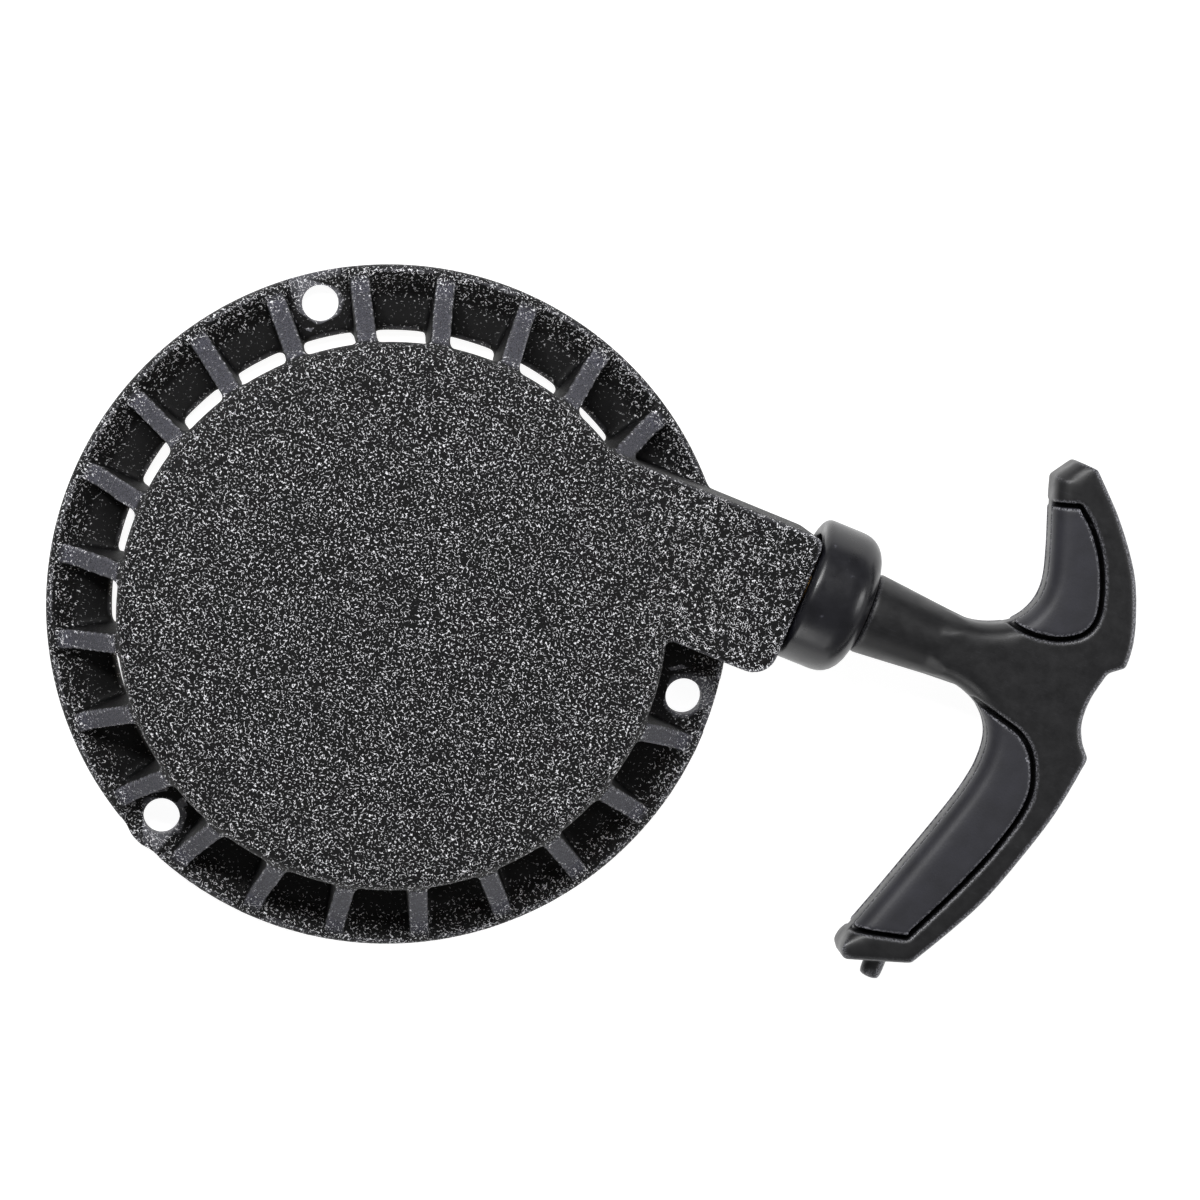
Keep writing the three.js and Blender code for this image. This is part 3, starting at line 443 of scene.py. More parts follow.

# Rib tops that face up are painted paler grey as light falling on them, broken by dark grit specks.
outside_drum = add_node(crinkle, "MapRange", inputs={
    "Value": radius.outputs["Value"], 1: 0.0594, 2: 0.0602, 3: 0.0, 4: 1.0})
above_lip = add_node(crinkle, "MapRange", inputs={
    "Value": spot.outputs["Z"], 1: 0.0074, 2: 0.0086, 3: 0.0, 4: 1.0})
below_neck = add_node(crinkle, "MapRange", inputs={
    "Value": spot.outputs["Z"], 1: 0.0277, 2: 0.0283, 3: 1.0, 4: 0.0})
level = add_node(crinkle, "MapRange", inputs={
    "Value": facing.outputs["Z"], 1: 0.25, 2: 0.55, 3: 0.0, 4: 1.0})
on_rib = add_node(crinkle, "Math", {"operation": "MULTIPLY"}, {0: outside_drum, 1: above_lip})
on_slope = add_node(crinkle, "Math", {"operation": "MULTIPLY"}, {0: below_neck, 1: level})
rib_top = add_node(crinkle, "Math", {"operation": "MULTIPLY"}, {0: on_rib, 1: on_slope})
pits = add_node(crinkle, "MapRange", inputs={
    "Value": grit.outputs["Fac"], 1: 0.4, 2: 0.52, 3: 0.3, 4: 1.0})
rubbed_and_painted_light = add_node(crinkle, "Math", {"operation": "MULTIPLY"}, {0: rib_top, 1: pits})
# Convex edges are painted paler grey as a highlight.
rim_highlight = add_node(crinkle, "MapRange", inputs={
    "Value": edges.outputs["Pointiness"], 1: 0.522, 2: 0.56, 3: 0.0, 4: 0.6})

coat = add_node(crinkle, "Mix", {"data_type": "RGBA"}, {
    0: patches.outputs["Fac"], 6: linear(0x050506), 7: linear(0x0F0F10)})
worn_and_painted_light = add_node(crinkle, "Mix", {"data_type": "RGBA"}, {
    0: rubbed_and_painted_light, 6: coat.outputs[2], 7: linear(0x4A4A53)})
edge_highlighted = add_node(crinkle, "Mix", {"data_type": "RGBA"}, {
    0: rim_highlight, 6: worn_and_painted_light.outputs[2], 7: linear(0x77777E)})
# The white flecks mixed in here are painted highlights.
colour = add_node(crinkle, "Mix", {"data_type": "RGBA"}, {
    0: glint, 6: edge_highlighted.outputs[2], 7: linear(0xF6F6FA)})
gloss = add_node(crinkle, "MapRange", inputs={
    "Value": glint, 1: 0.0, 2: 1.0, 3: 0.6, 4: 0.35})
relief = add_node(crinkle, "Bump", inputs={
    "Height": crest, "Strength": 0.4, "Distance": 0.1 * MM})
paint = add_node(crinkle, "BsdfPrincipled", inputs={
    "Base Color": colour.outputs[2], "Roughness": gloss, "Normal": relief,
    "IOR": 1.5, "Specular IOR Level": 0.18})
add_node(crinkle, "OutputMaterial", inputs={"Surface": paint})
fixed(casting, "housing", "housing", crinkle)

# ------------------------------------------------------------------ handle
# A moulded nylon T handle: a round spigot and stem that flatten into two uneven arms, with a
# notch behind for the rope's knot. Each arm has a grip panel let into its front and its back.
HANDLE_T = 15
OUTER_EDGE = 1.5
INNER_EDGE = 4.2
INNER_X = 52.5
INNER_Y = (-68, 46.5)
PAD_FLOOR = HANDLE_T / 2 - 5.2
PAD_GROOVE = 1.1
PAD_FLOAT = 0.3
STEM_END_X = 50
KNOT_POCKET_X = 57.5
KNOT_POCKET_R = 5.2
ROPE_BORE_R = 2.55
HANDLE_TRIANGLES = 150000
PAD_TRIANGLES = 40000


def through(*points, steps=6):
    """A smooth curve in plan through the points, in mm."""
    curve = []
    for i in range(len(points) - 1):
        before, a, b, after = (points[max(i - 1, 0)], points[i], points[i + 1],
                               points[min(i + 2, len(points) - 1)])
        for k in range(steps):
            t = k / steps
            curve.append(tuple(
                q + t * ((r - p) / 2 + t * (p - 2.5 * q + 2 * r - s / 2 + t * (-p + 3 * q - 3 * r + s) / 2))
                for p, q, r, s in zip(before, a, b, after)))
    return [*curve, points[-1]]


HANDLE_PLAN = [
    *through((27, -7.7), (37.8, -6.8), (44.7, -8.4), (48.9, -11.3), (51.2, -15.1), (51.9, -20),
             (51.5, -25), (49.7, -32.8), (43.7, -52.5), (39.2, -66.3)),
    (38.8, -70), (40.3, -72),
    *through((54.6, -67.3), (60.5, -56.4), (64.8, -47), (69.2, -33), (71.6, -23), (73.2, -11)),
    *through((70.8, -8.4), (68.9, -4.5), (68.5, 1), (69.9, 8)),
    *through((73.1, 10.5), (72.6, 16), (70.3, 23), (66.4, 30.8), (59, 40), (50.3, 48.2)),
    (45.7, 48.4),
    *through((42.4, 43.4), (44.2, 38.1), (48, 28), (50, 21), (49.6, 15.8), (47, 11.3), (42.8, 8.6),
             (36.8, 7.2), (27, 7.7))]
PAD_PLANS = {
    "upper": [*through((49.7, 40.1), (54.6, 36.2), (59.7, 29.3), (63.2, 20), (62.3, 14.3), (57.5, 10.6),
                       (51, 9.2), (45.5, 9.6)), (42, 14), (42, 34), (42.5, 37.5)],
    "lower": [*through((44.6, -7.6), (51.6, -9.4), (57.8, -11.3), (62.4, -16), (64.9, -24), (63, -34.8),
                       (58, -48.6), (51.6, -62.8)), (38, -66.1), (38, -62), (40, -52.5), (46, -33),
              (48, -20), (46, -14), (43, -9.5)]}


def set_in(points, distance):
    """Moves a closed outline inwards by the same distance all round."""
    area = sum(x * v - y * u for (x, y), (u, v) in zip(points, points[1:] + points[:1]))
    moved_points = []
    for i, (x, y) in enumerate(points):
        (ax, ay), (bx, by) = points[i - 1], points[(i + 1) % len(points)]
        length = math.hypot(bx - ax, by - ay) * (1 if area > 0 else -1)
        moved_points.append((x - distance * (by - ay) / length, y + distance * (bx - ax) / length))
    return moved_points


def handle_blank():
    """The whole grip before the panels are let into it: the fingers' side well rounded, and the
    rest with a narrow edge."""
    blank = plate("grip_blank", HANDLE_PLAN, -HANDLE_T / 2, HANDLE_T / 2)
    for inner, width in ((True, INNER_EDGE), (False, OUTER_EDGE)):
        pick(blank)
        bpy.ops.object.mode_set(mode="EDIT")
        bpy.ops.mesh.select_mode(type="EDGE")
        bpy.ops.mesh.select_all(action="DESELECT")
        bpy.ops.object.mode_set(mode="OBJECT")
        for edge in blank.data.edges:
            a, b = [blank.data.vertices[i].co / MM for i in edge.vertices]
            middle = (a + b) / 2
            on_face = abs(abs(a.z) - HANDLE_T / 2) < 0.01 and abs(a.z - b.z) < 0.01
            fingers = middle.x < INNER_X and INNER_Y[0] < middle.y < INNER_Y[1]
            edge.select = on_face and fingers == inner
        bpy.ops.object.mode_set(mode="EDIT")
        bpy.ops.mesh.bevel(offset=width * MM, segments=5, affect="EDGES", clamp_overlap=False)
        bpy.ops.object.mode_set(mode="OBJECT")
    return fused("grip_blank", [blank], voxel=0.45, passes=4)


def pad_cutter(outline, side, distance, floor):
    """A block of a panel's outline, from its floor out past the face."""
    if side == "front":
        return plate("panel_cutter", set_in(outline, distance), floor, HANDLE_T)
    return plate("panel_cutter", set_in(outline, distance), -HANDLE_T, -floor)


def to_handle(obj):
    """Puts a piece drawn about the end of the neck in its place."""
    return moved(obj, (NECK_END_X, PULL_Y, PULL_Z))


grip = handle_blank()
cut(grip, along_x(turned("shoulder_cutter", [
    (7.2, 24), (7.5, 30), (8, 34), (8.8, 38), (10.2, 42), (12, 45.5), (15, 49), (20, 49), (20, 24)],
    64, hollow=True)))
stem = along_x(turned("stem", [
    (6, 6.1), (6, 15.5), (8.3, 15.5), (8.85, 15.8), (9.05, 16.5), (8.75, 20), (8.4, 24), (8, 28.5),
    (7.6, 33), (7.2, 40), (6.5, STEM_END_X)]))
nub = moved(turned("nub", [(1.3, -74.2), (2.1, -73.8), (2.4, -72.8), (2.4, -66)], 32),
            (48, 0, 0), (-90, 0, 0))
pads = []
for name, outline in PAD_PLANS.items():
    for side in ("front", "back"):
        pad = handle_blank()
        cut(pad, pad_cutter(outline, side, PAD_GROOVE, PAD_FLOOR + PAD_FLOAT), operation="INTERSECT")
        pad = fused(f"{name}_grip_panel_{side}", [pad], voxel=0.42, passes=6)
        pads.append((thinned(pad, PAD_TRIANGLES), f"{name}_grip_pad_{side}"))
        cut(grip, pad_cutter(outline, side, 0, PAD_FLOOR))
handle = fused("moulded_handle", [grip, stem, nub], voxel=0.45, passes=3)
thinned(handle, HANDLE_TRIANGLES)
cut(handle,
    along_x(turned("rope_bore", [(ROPE_BORE_R, 0), (ROPE_BORE_R, 64)], 40)),
    along_x(turned("knot_pocket", [(KNOT_POCKET_R, KNOT_POCKET_X), (KNOT_POCKET_R, 82)], 56)))

# Black glass-filled nylon, injection moulded: satin, faintly mottled by its flow, with fine
# scuffs. Its edges, and the outer bevel where it faces out and up, are painted pale grey as highlights,
# broken by the grain.
nylon = blank_material("black_moulded_nylon")
place = add_node(nylon, "TexCoord")
mottle = add_node(nylon, "TexNoise", inputs={
    "Vector": place.outputs["Object"], "Scale": 1 / (4 * MM), "Detail": 5, "Roughness": 0.7})
grain = add_node(nylon, "TexNoise", inputs={
    "Vector": place.outputs["Object"], "Scale": 1 / (0.35 * MM), "Detail": 2})
drawn_out = add_node(nylon, "Mapping", inputs={
    0: place.outputs["Object"], "Rotation": (0, 0, 0.7), "Scale": (1, 9, 1)})
scuffs = add_node(nylon, "TexNoise", inputs={
    "Vector": drawn_out, "Scale": 1 / (3 * MM), "Detail": 3})
# Convex edges are painted pale as highlights, broken by the grain.
edges = add_node(nylon, "NewGeometry")
painted_edge_highlight = add_node(nylon, "MapRange", inputs={
    "Value": edges.outputs["Pointiness"], 1: 0.513, 2: 0.54, 3: 0.0, 4: 0.75})
broken = add_node(nylon, "MapRange", inputs={
    "Value": grain.outputs["Fac"], 1: 0.46, 2: 0.6, 3: 0.05, 4: 0.6})
rubbed_and_painted_light = add_node(nylon, "Math", {"operation": "MULTIPLY"}, {0: painted_edge_highlight, 1: broken})
scuffed = add_node(nylon, "MapRange", inputs={
    "Value": scuffs.outputs["Fac"], 1: 0.62, 2: 0.72, 3: 0.0, 4: 0.35})
body = add_node(nylon, "Mix", {"data_type": "RGBA"}, {
    0: mottle.outputs["Fac"], 6: linear(0x070708), 7: linear(0x131316)})
scratched = add_node(nylon, "Mix", {"data_type": "RGBA"}, {
    0: scuffed, 6: body.outputs[2], 7: linear(0x2C2C31)})
# The outer bevel, where it faces out and up, is painted pale grey as a highlight.
facing = add_node(nylon, "SeparateXYZ", inputs={0: place.outputs["Normal"]})
outward = add_node(nylon, "MapRange", inputs={
    "Value": facing.outputs["X"], 1: 0.2, 2: 0.45, 3: 0.0, 4: 1.0})
sloping = add_node(nylon, "MapRange", inputs={
    "Value": facing.outputs["Z"], 1: 0.2, 2: 0.45, 3: 0.0, 4: 1.0})
far_edge = add_node(nylon, "Math", {"operation": "MULTIPLY"}, {0: outward, 1: sloping})
lit_bevel = add_node(nylon, "Math", {"operation": "MULTIPLY"}, {0: far_edge, 1: broken})
bevel_highlighted = add_node(nylon, "Mix", {"data_type": "RGBA"}, {
    0: lit_bevel, 6: scratched.outputs[2], 7: linear(0xA0A0A8)})
colour = add_node(nylon, "Mix", {"data_type": "RGBA"}, {
    0: rubbed_and_painted_light, 6: bevel_highlighted.outputs[2], 7: linear(0x9A9AA2)})
gloss = add_node(nylon, "MapRange", inputs={
    "Value": mottle.outputs["Fac"], 1: 0.3, 2: 0.7, 3: 0.34, 4: 0.5})
relief = add_node(nylon, "Bump", inputs={
    "Height": grain.outputs["Fac"], "Strength": 0.18, "Distance": 0.06 * MM})
skin = add_node(nylon, "BsdfPrincipled", inputs={
    "Base Color": colour.outputs[2], "Roughness": gloss, "Normal": relief,
    "IOR": 1.53})
add_node(nylon, "OutputMaterial", inputs={"Surface": skin})
fixed(to_handle(handle), "handle", "handle_body", nylon, smooth=50)

# The panels are a softer black elastomer with a fine spark-eroded grain, a little bluer and
# paler than the nylon round them. Their convex edges, along the groove, are painted pale as a highlight,
# broken by the grain.
elastomer = blank_material("black_textured_elastomer")
place = add_node(elastomer, "TexCoord")
speckle = add_node(elastomer, "TexNoise", inputs={
    "Vector": place.outputs["Object"], "Scale": 1 / (0.45 * MM), "Detail": 2})
bloom = add_node(elastomer, "TexNoise", inputs={
    "Vector": place.outputs["Object"], "Scale": 1 / (6 * MM), "Detail": 4, "Roughness": 0.65})
# Convex edges along the groove are painted pale as a highlight.
edges = add_node(elastomer, "NewGeometry")
painted_edge_highlight = add_node(elastomer, "MapRange", inputs={
    "Value": edges.outputs["Pointiness"], 1: 0.52, 2: 0.55, 3: 0.0, 4: 0.6})
broken = add_node(elastomer, "MapRange", inputs={
    "Value": speckle.outputs["Fac"], 1: 0.45, 2: 0.58, 3: 0.0, 4: 1.0})
rubbed_and_painted_light = add_node(elastomer, "Math", {"operation": "MULTIPLY"}, {0: painted_edge_highlight, 1: broken})
body = add_node(elastomer, "Mix", {"data_type": "RGBA"}, {
    0: bloom.outputs["Fac"], 6: linear(0x141418), 7: linear(0x2E2E36)})
colour = add_node(elastomer, "Mix", {"data_type": "RGBA"}, {
    0: rubbed_and_painted_light, 6: body.outputs[2], 7: linear(0xA8A8B0)})
relief = add_node(elastomer, "Bump", inputs={
    "Height": speckle.outputs["Fac"], "Strength": 0.35, "Distance": 0.08 * MM})
skin = add_node(elastomer, "BsdfPrincipled", inputs={
    "Base Color": colour.outputs[2], "Roughness": 0.52, "Normal": relief, "IOR": 1.5})
add_node(elastomer, "OutputMaterial", inputs={"Surface": skin})
for pad, node in pads:
    fixed(to_handle(pad), "handle", node, elastomer, smooth=60)

# ------------------------------------------------------------------ buffer
# A moulded rubber cup, pushed on the handle's spigot. It takes the knock when the handle
# snaps back, and closes over the rope guide.
BUFFER_LENGTH = 15.2
buffer = along_x(turned("rubber_buffer", [
    (12.3, 0.3), (14.3, 0.3), *arc((14.3, 2.0), 1.7, -90, 0, 6), (16, 2.6), (16, 5), (16, 8.4),
    (15.95, 9.6), (15.75, 10.8), (15.3, 11.9), (14.6, 12.9), (13.6, 13.8), (12.3, 14.5), (10.8, 15),
    (9.2, BUFFER_LENGTH), (6.9, BUFFER_LENGTH), (6.3, BUFFER_LENGTH - 0.6), (6.3, 6), (6.7, 5.5),
    (11, 5.5), (11.7, 5.2), (12.1, 4.6), (12.1, 0.9)], 160, hollow=True))

# Black natural rubber from a polished mould: smooth, with a bluish bloom and a few pale scuffs.
rubber = blank_material("black_moulded_rubber")
place = add_node(rubber, "TexCoord")
bloom = add_node(rubber, "TexNoise", inputs={
    "Vector": place.outputs["Object"], "Scale": 1 / (5 * MM), "Detail": 4, "Roughness": 0.6})
fine = add_node(rubber, "TexNoise", inputs={
    "Vector": place.outputs["Object"], "Scale": 1 / (0.5 * MM), "Detail": 3})
scuffs = add_node(rubber, "TexNoise", inputs={
    "Vector": place.outputs["Object"], "Scale": 1 / (2.6 * MM), "Detail": 6, "Roughness": 0.75})
scuffed = add_node(rubber, "MapRange", inputs={
    "Value": scuffs.outputs["Fac"], 1: 0.64, 2: 0.74, 3: 0.0, 4: 0.6})
body = add_node(rubber, "Mix", {"data_type": "RGBA"}, {
    0: bloom.outputs["Fac"], 6: linear(0x08080B), 7: linear(0x16161D)})
colour = add_node(rubber, "Mix", {"data_type": "RGBA"}, {
    0: scuffed, 6: body.outputs[2], 7: linear(0x70707C)})
gloss = add_node(rubber, "MapRange", inputs={
    "Value": bloom.outputs["Fac"], 1: 0.3, 2: 0.7, 3: 0.24, 4: 0.38})
relief = add_node(rubber, "Bump", inputs={
    "Height": fine.outputs["Fac"], "Strength": 0.12, "Distance": 0.05 * MM})
skin = add_node(rubber, "BsdfPrincipled", inputs={
    "Base Color": colour.outputs[2], "Roughness": gloss, "Normal": relief,
    "IOR": 1.52})
add_node(rubber, "OutputMaterial", inputs={"Surface": skin})
fixed(to_handle(buffer), "handle", "handle_buffer", rubber, smooth=60)

# ------------------------------------------------------------------ starter rope
# Braided nylon cord, 3.5 mm thick. It leaves the reel along the pull axis, runs through the
# neck into the handle, and the stretch inside the rubber buffer pays out with each pull.
ROPE_R = (lead_high.z - lead_low.z) / 2 / MM
LEAD_START_X = lead_low.x / MM
LEAD_END_X = lead_high.x / MM
PAYOUT_X = (82, 86)
PAYOUT_RINGS = 72
PLAIT_MM = 5.2
STRANDS = 8


def braided_nylon(name, where, side, height, along):
    """Black nylon braid over its own length in mm: interlocked strands whose crowns are painted
    paler and the gaps between them darker, as painted light and shade, with a satin sheen and a
    fine fuzz. The strands are as wide as a real plait's."""
    material = blank_material(name)
    place = add_node(material, *where)
    split = add_node(material, "SeparateXYZ", inputs={
        0: place.outputs["Vector" if where[0] == "Attribute" else "Object"]})
    out = add_node(material, "Math", {"operation": "SUBTRACT"}, {
        0: split.outputs[side], 1: PULL_Y * MM if along == "X" else 0.0})
    rise = add_node(material, "Math", {"operation": "SUBTRACT"}, {
        0: split.outputs[height], 1: PULL_Z * MM if along == "X" else 0.0})
    angle = add_node(material, "Math", {"operation": "ARCTAN2"}, {0: rise, 1: out})
    laps = add_node(material, "Math", {"operation": "MULTIPLY"}, {0: angle, 1: STRANDS / 2})
    run = add_node(material, "Math", {"operation": "MULTIPLY"},
                   {0: split.outputs[along], 1: math.pi * STRANDS / 2 / (PLAIT_MM * MM)})
    lays = []
    for operation in ("ADD", "SUBTRACT"):
        phase = add_node(material, "Math", {"operation": operation}, {0: run, 1: laps})
        wave = add_node(material, "Math", {"operation": "SINE"}, {0: phase})
        lays.append(add_node(material, "Math", {"operation": "ABSOLUTE"}, {0: wave}))
    strand = add_node(material, "Math", {"operation": "MULTIPLY"}, {0: lays[0], 1: lays[1]})
    fuzz = add_node(material, "TexNoise", inputs={
        "Vector": place.outputs["Vector" if where[0] == "Attribute" else "Object"],
        "Scale": 1 / (0.25 * MM), "Detail": 2})
    # Strand crowns are painted paler and the gaps between strands darker, as painted light and shade.
    lit = add_node(material, "Math", {"operation": "MULTIPLY"}, {0: strand, 1: fuzz.outputs["Fac"]})
    shade = add_node(material, "Mix", {"data_type": "RGBA"}, {
        0: lit, 6: linear(0x08080A), 7: linear(0x3A3A40)})
    ridges = add_node(material, "Bump", inputs={
        "Height": strand, "Strength": 0.9, "Distance": 0.35 * MM})
    cord = add_node(material, "BsdfPrincipled", inputs={
        "Base Color": shade.outputs[2], "Roughness": 0.62, "Normal": ridges,
        "Sheen Weight": 0.25, "Sheen Roughness": 0.4})
    add_node(material, "OutputMaterial", inputs={"Surface": cord})
    return material


def tube(name, points, radius, sides=16):
    """A round bar bent along points in mm. Each point of its skin remembers, in metres, where
    it sits round the bar and how far along it."""
    pick()
    curve = bpy.data.curves.new(name, "CURVE")
    curve.dimensions = "3D"
    curve.twist_mode = "Z_UP"
    curve.bevel_depth = radius * MM
    curve.bevel_resolution = sides // 4 - 1
    curve.use_fill_caps = True
    spline = curve.splines.new("POLY")
    spline.points.add(len(points) - 1)
    for point, (x, y, z) in zip(spline.points, points):
        point.co = (x * MM, y * MM, z * MM, 1)
    obj = bpy.data.objects.new(name, curve)
    bpy.context.scene.collection.objects.link(obj)
    pick(obj)
    bpy.ops.object.convert(target="MESH")
    tidied(obj)
    path = [Vector(point) * MM for point in points]
    far = [0.0]
    for before, after in zip(path, path[1:]):
        far.append(far[-1] + (after - before).length)
    lay = obj.data.attributes.new("lay", "FLOAT_VECTOR", "POINT")
    for vertex, value in zip(obj.data.vertices, lay.data):
        i = min(range(len(path)), key=lambda k: (path[k] - vertex.co).length_squared)
        forward = (path[min(i + 1, len(path) - 1)] - path[max(i - 1, 0)]).normalized()
        offset = vertex.co - path[i]
        sideways = Vector((forward.y, -forward.x, 0))
        value.vector = (offset.dot(sideways), offset.z, far[i])
    return obj


lead = along_x(turned("rope_lead_braid", [
    (ROPE_R * 0.6, LEAD_START_X), (ROPE_R, LEAD_START_X + 0.6),
    *[(ROPE_R, x) for x in range(4, PAYOUT_X[0], 6)],
    *[(ROPE_R, PAYOUT_X[0] + (PAYOUT_X[1] - PAYOUT_X[0]) * i / PAYOUT_RINGS)
      for i in range(PAYOUT_RINGS + 1)],
    *[(ROPE_R, x) for x in range(PAYOUT_X[1] + 4, 138, 6)],
    (ROPE_R, LEAD_END_X - 0.6), (ROPE_R * 0.6, LEAD_END_X)], 24), (0, PULL_Y, PULL_Z))
shaded(lead, 60)
painted(lead, braided_nylon("braided_nylon_rope_lead", ("TexCoord",), "Y", "Z", "X"))
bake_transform(lead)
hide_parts("rope_lead")


# ------------------------------------------------------------------ rope on the reel
# The same cord, wound 3.5 turns flat on itself between the flanges, with its last stretch led
# in to the core, where an overhand knot in a pocket holds it.
WINDING_PITCH = 2.2 * ROPE_R
WINDING_TURNS = 3.5
TURN_STEPS = 72
REEL_KNOT_AT = 318
REEL_KNOT_RING_R = 17.5
REEL_KNOT_R = 3.5
REEL_KNOT_HIGH = 2.65
steps = int(WINDING_TURNS * TURN_STEPS)
spiral = [at_angle(PULL_Y - WINDING_PITCH * i / TURN_STEPS, 90 + 360 * i / TURN_STEPS)
          for i in range(steps + 1)]
last_r = PULL_Y - WINDING_PITCH * WINDING_TURNS
last_turn = (90 + 360 * WINDING_TURNS) % 360
sweep = REEL_KNOT_AT - last_turn - math.degrees((REEL_KNOT_R + 0.3) / REEL_KNOT_RING_R)
led_in = [at_angle(last_r + (REEL_KNOT_RING_R - last_r) * dip, last_turn + sweep * turn)
          for turn, dip in ((0, 0), (0.27, 0.06), (0.66, 0.34), (1, 0.7))]
tail = through(*led_in, steps=5)
windings = tube("rope_windings_braid", [(x, y, PULL_Z) for x, y in [*spiral, *tail[1:]]], ROPE_R)
on_reel = braided_nylon("braided_nylon_rope_on_reel",
                        ("Attribute", {"attribute_name": "lay"}), "X", "Y", "Z")
fixed(windings, "reel", "rope_windings", on_reel, smooth=60)


# ------------------------------------------------------------------ knots
# Overhand knots pulled tight, one in the reel's pocket and one in the handle against a plated
# washer, so the rope can't pull through either.
def overhand_knot(name, centre, half_size, turn):
    """A tight trefoil of rope that fits in a ball, or a flattened one."""
    inner = [size - ROPE_R * 0.95 for size in half_size]
    loop = []
    for i in range(61):
        t = math.radians(6 * i)
        loop.append((
            inner[0] * (math.sin(t) + 2 * math.sin(2 * t)) / 3,
            inner[1] * (math.cos(t) - 2 * math.cos(2 * t)) / 3,
            -inner[2] * math.sin(3 * t)))
    knot = tube(name, loop, ROPE_R * 0.92, 12)
    return moved(moved(knot, turn=turn), centre)


handle_knot_low, handle_knot_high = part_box("handle_knot")
knot_x = (handle_knot_low.x + handle_knot_high.x) / 2 / MM
knot_r = (handle_knot_high.y - handle_knot_low.y) / 2 / MM - 0.15
for knot, body, node in (
        (overhand_knot("handle_overhand_knot", (knot_x, PULL_Y, PULL_Z),
                       (knot_r, knot_r, knot_r), (0, 90, 0)), "handle", "handle_knot"),
        (overhand_knot("reel_overhand_knot", (*at_angle(REEL_KNOT_RING_R, REEL_KNOT_AT), PULL_Z),
                       (REEL_KNOT_R, REEL_KNOT_R, REEL_KNOT_HIGH), (0, 0, 0)),
         "reel", "rope_reel_knot")):
    fixed(knot, body, node, on_reel, smooth=60)


# ------------------------------------------------------------------ plated steel parts
# The knot's washer, the centre washer and the centre screw are low-carbon steel with bright
# zinc plate: a pale bluish metal, faintly cloudy, with fine marks left by the tumbling.
GRAIN_MM = 0.12
CLOUD_MM = 4
zinc = blank_material("bright_zinc_plated_steel")
place = add_node(zinc, "TexCoord")
cloud = add_node(zinc, "TexNoise", inputs={
    "Vector": place.outputs["Object"], "Scale": 1 / (CLOUD_MM * MM), "Detail": 3})
grain = add_node(zinc, "TexNoise", inputs={
    "Vector": place.outputs["Object"], "Scale": 1 / (GRAIN_MM * MM), "Detail": 2})
edges = add_node(zinc, "NewGeometry")
worn_and_painted_light = add_node(zinc, "MapRange", inputs={
    "Value": edges.outputs["Pointiness"], 1: 0.52, 2: 0.58, 3: 0.0, 4: 0.8})
plate_tint = add_node(zinc, "Mix", {"data_type": "RGBA"}, {
    0: cloud.outputs["Fac"], 6: linear(0xB4B6BA), 7: linear(0xD2D1CB)})
colour = add_node(zinc, "Mix", {"data_type": "RGBA"}, {
    0: worn_and_painted_light, 6: plate_tint.outputs[2], 7: linear(0xE8E8E6)})
gloss = add_node(zinc, "MapRange", inputs={
    "Value": cloud.outputs["Fac"], 1: 0.3, 2: 0.7, 3: 0.24, 4: 0.42})
marks = add_node(zinc, "Bump", inputs={
    "Height": grain.outputs["Fac"], "Strength": 0.25, "Distance": 0.02 * MM})
metal = add_node(zinc, "BsdfPrincipled", inputs={
    "Base Color": colour.outputs[2], "Metallic": 1.0, "Roughness": gloss,
    "Normal": marks})
add_node(zinc, "OutputMaterial", inputs={"Surface": metal})


knot_washer_low, knot_washer_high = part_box("knot_washer")
knot_washer_r = (knot_washer_high.y - knot_washer_low.y) / 2 / MM
fixed(along_x(turned("punched_knot_washer", [
    (2.05, knot_washer_low.x / MM), (knot_washer_r, knot_washer_low.x / MM),
    (knot_washer_r, knot_washer_high.x / MM), (2.05, knot_washer_high.x / MM)], 48, hollow=True),
    (0, PULL_Y, PULL_Z)), "handle", "knot_washer", zinc, 0.12)

washer_low, washer_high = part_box("centre_washer")
fixed(turned("punched_centre_washer", [
    (2.8, washer_low.z / MM), (washer_high.x / MM, washer_low.z / MM),
    (washer_high.x / MM, washer_high.z / MM), (2.8, washer_high.z / MM)], 96, hollow=True),
    "housing", "centre_washer", zinc, 0.15)

screw_low, screw_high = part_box("centre_screw")
HEAD_R = 4.6
HEAD_BOTTOM_Z = screw_low.z / MM
HEAD_TOP_Z = HEAD_BOTTOM_Z + 2.6
SCREW_TIP_Z = screw_high.z / MM
head = plate("hexagon", [at_angle(HEAD_R, 60 * i) for i in range(6)], HEAD_BOTTOM_Z, HEAD_TOP_Z)
cut(head, turned("head_chamfer", [
    (3.7, HEAD_BOTTOM_Z - 0.01), (4.7, HEAD_BOTTOM_Z + 0.5), (4.7, HEAD_TOP_Z + 0.01)], 64),
    operation="INTERSECT")
cut(head, turned("head_dimple", [
    (2.3, HEAD_BOTTOM_Z - 1), (2.3, HEAD_BOTTOM_Z + 0.01), (1.6, HEAD_BOTTOM_Z + 0.5)], 48))
thread = [(2.5, HEAD_TOP_Z - 1), (2.5, HEAD_TOP_Z + 1.5)]
for i in range(14):
    z = HEAD_TOP_Z + 2 + i
    thread += [(2.15, z), (2.5, z + 0.4), (2.5, z + 0.6)]
cut(head, turned("threaded_shank", [*thread, (2.1, SCREW_TIP_Z - 0.4), (1.6, SCREW_TIP_Z)], 32),
    operation="UNION")
head.name = "hexagon_head_screw"
fixed(head, "housing", "centre_screw", zinc)

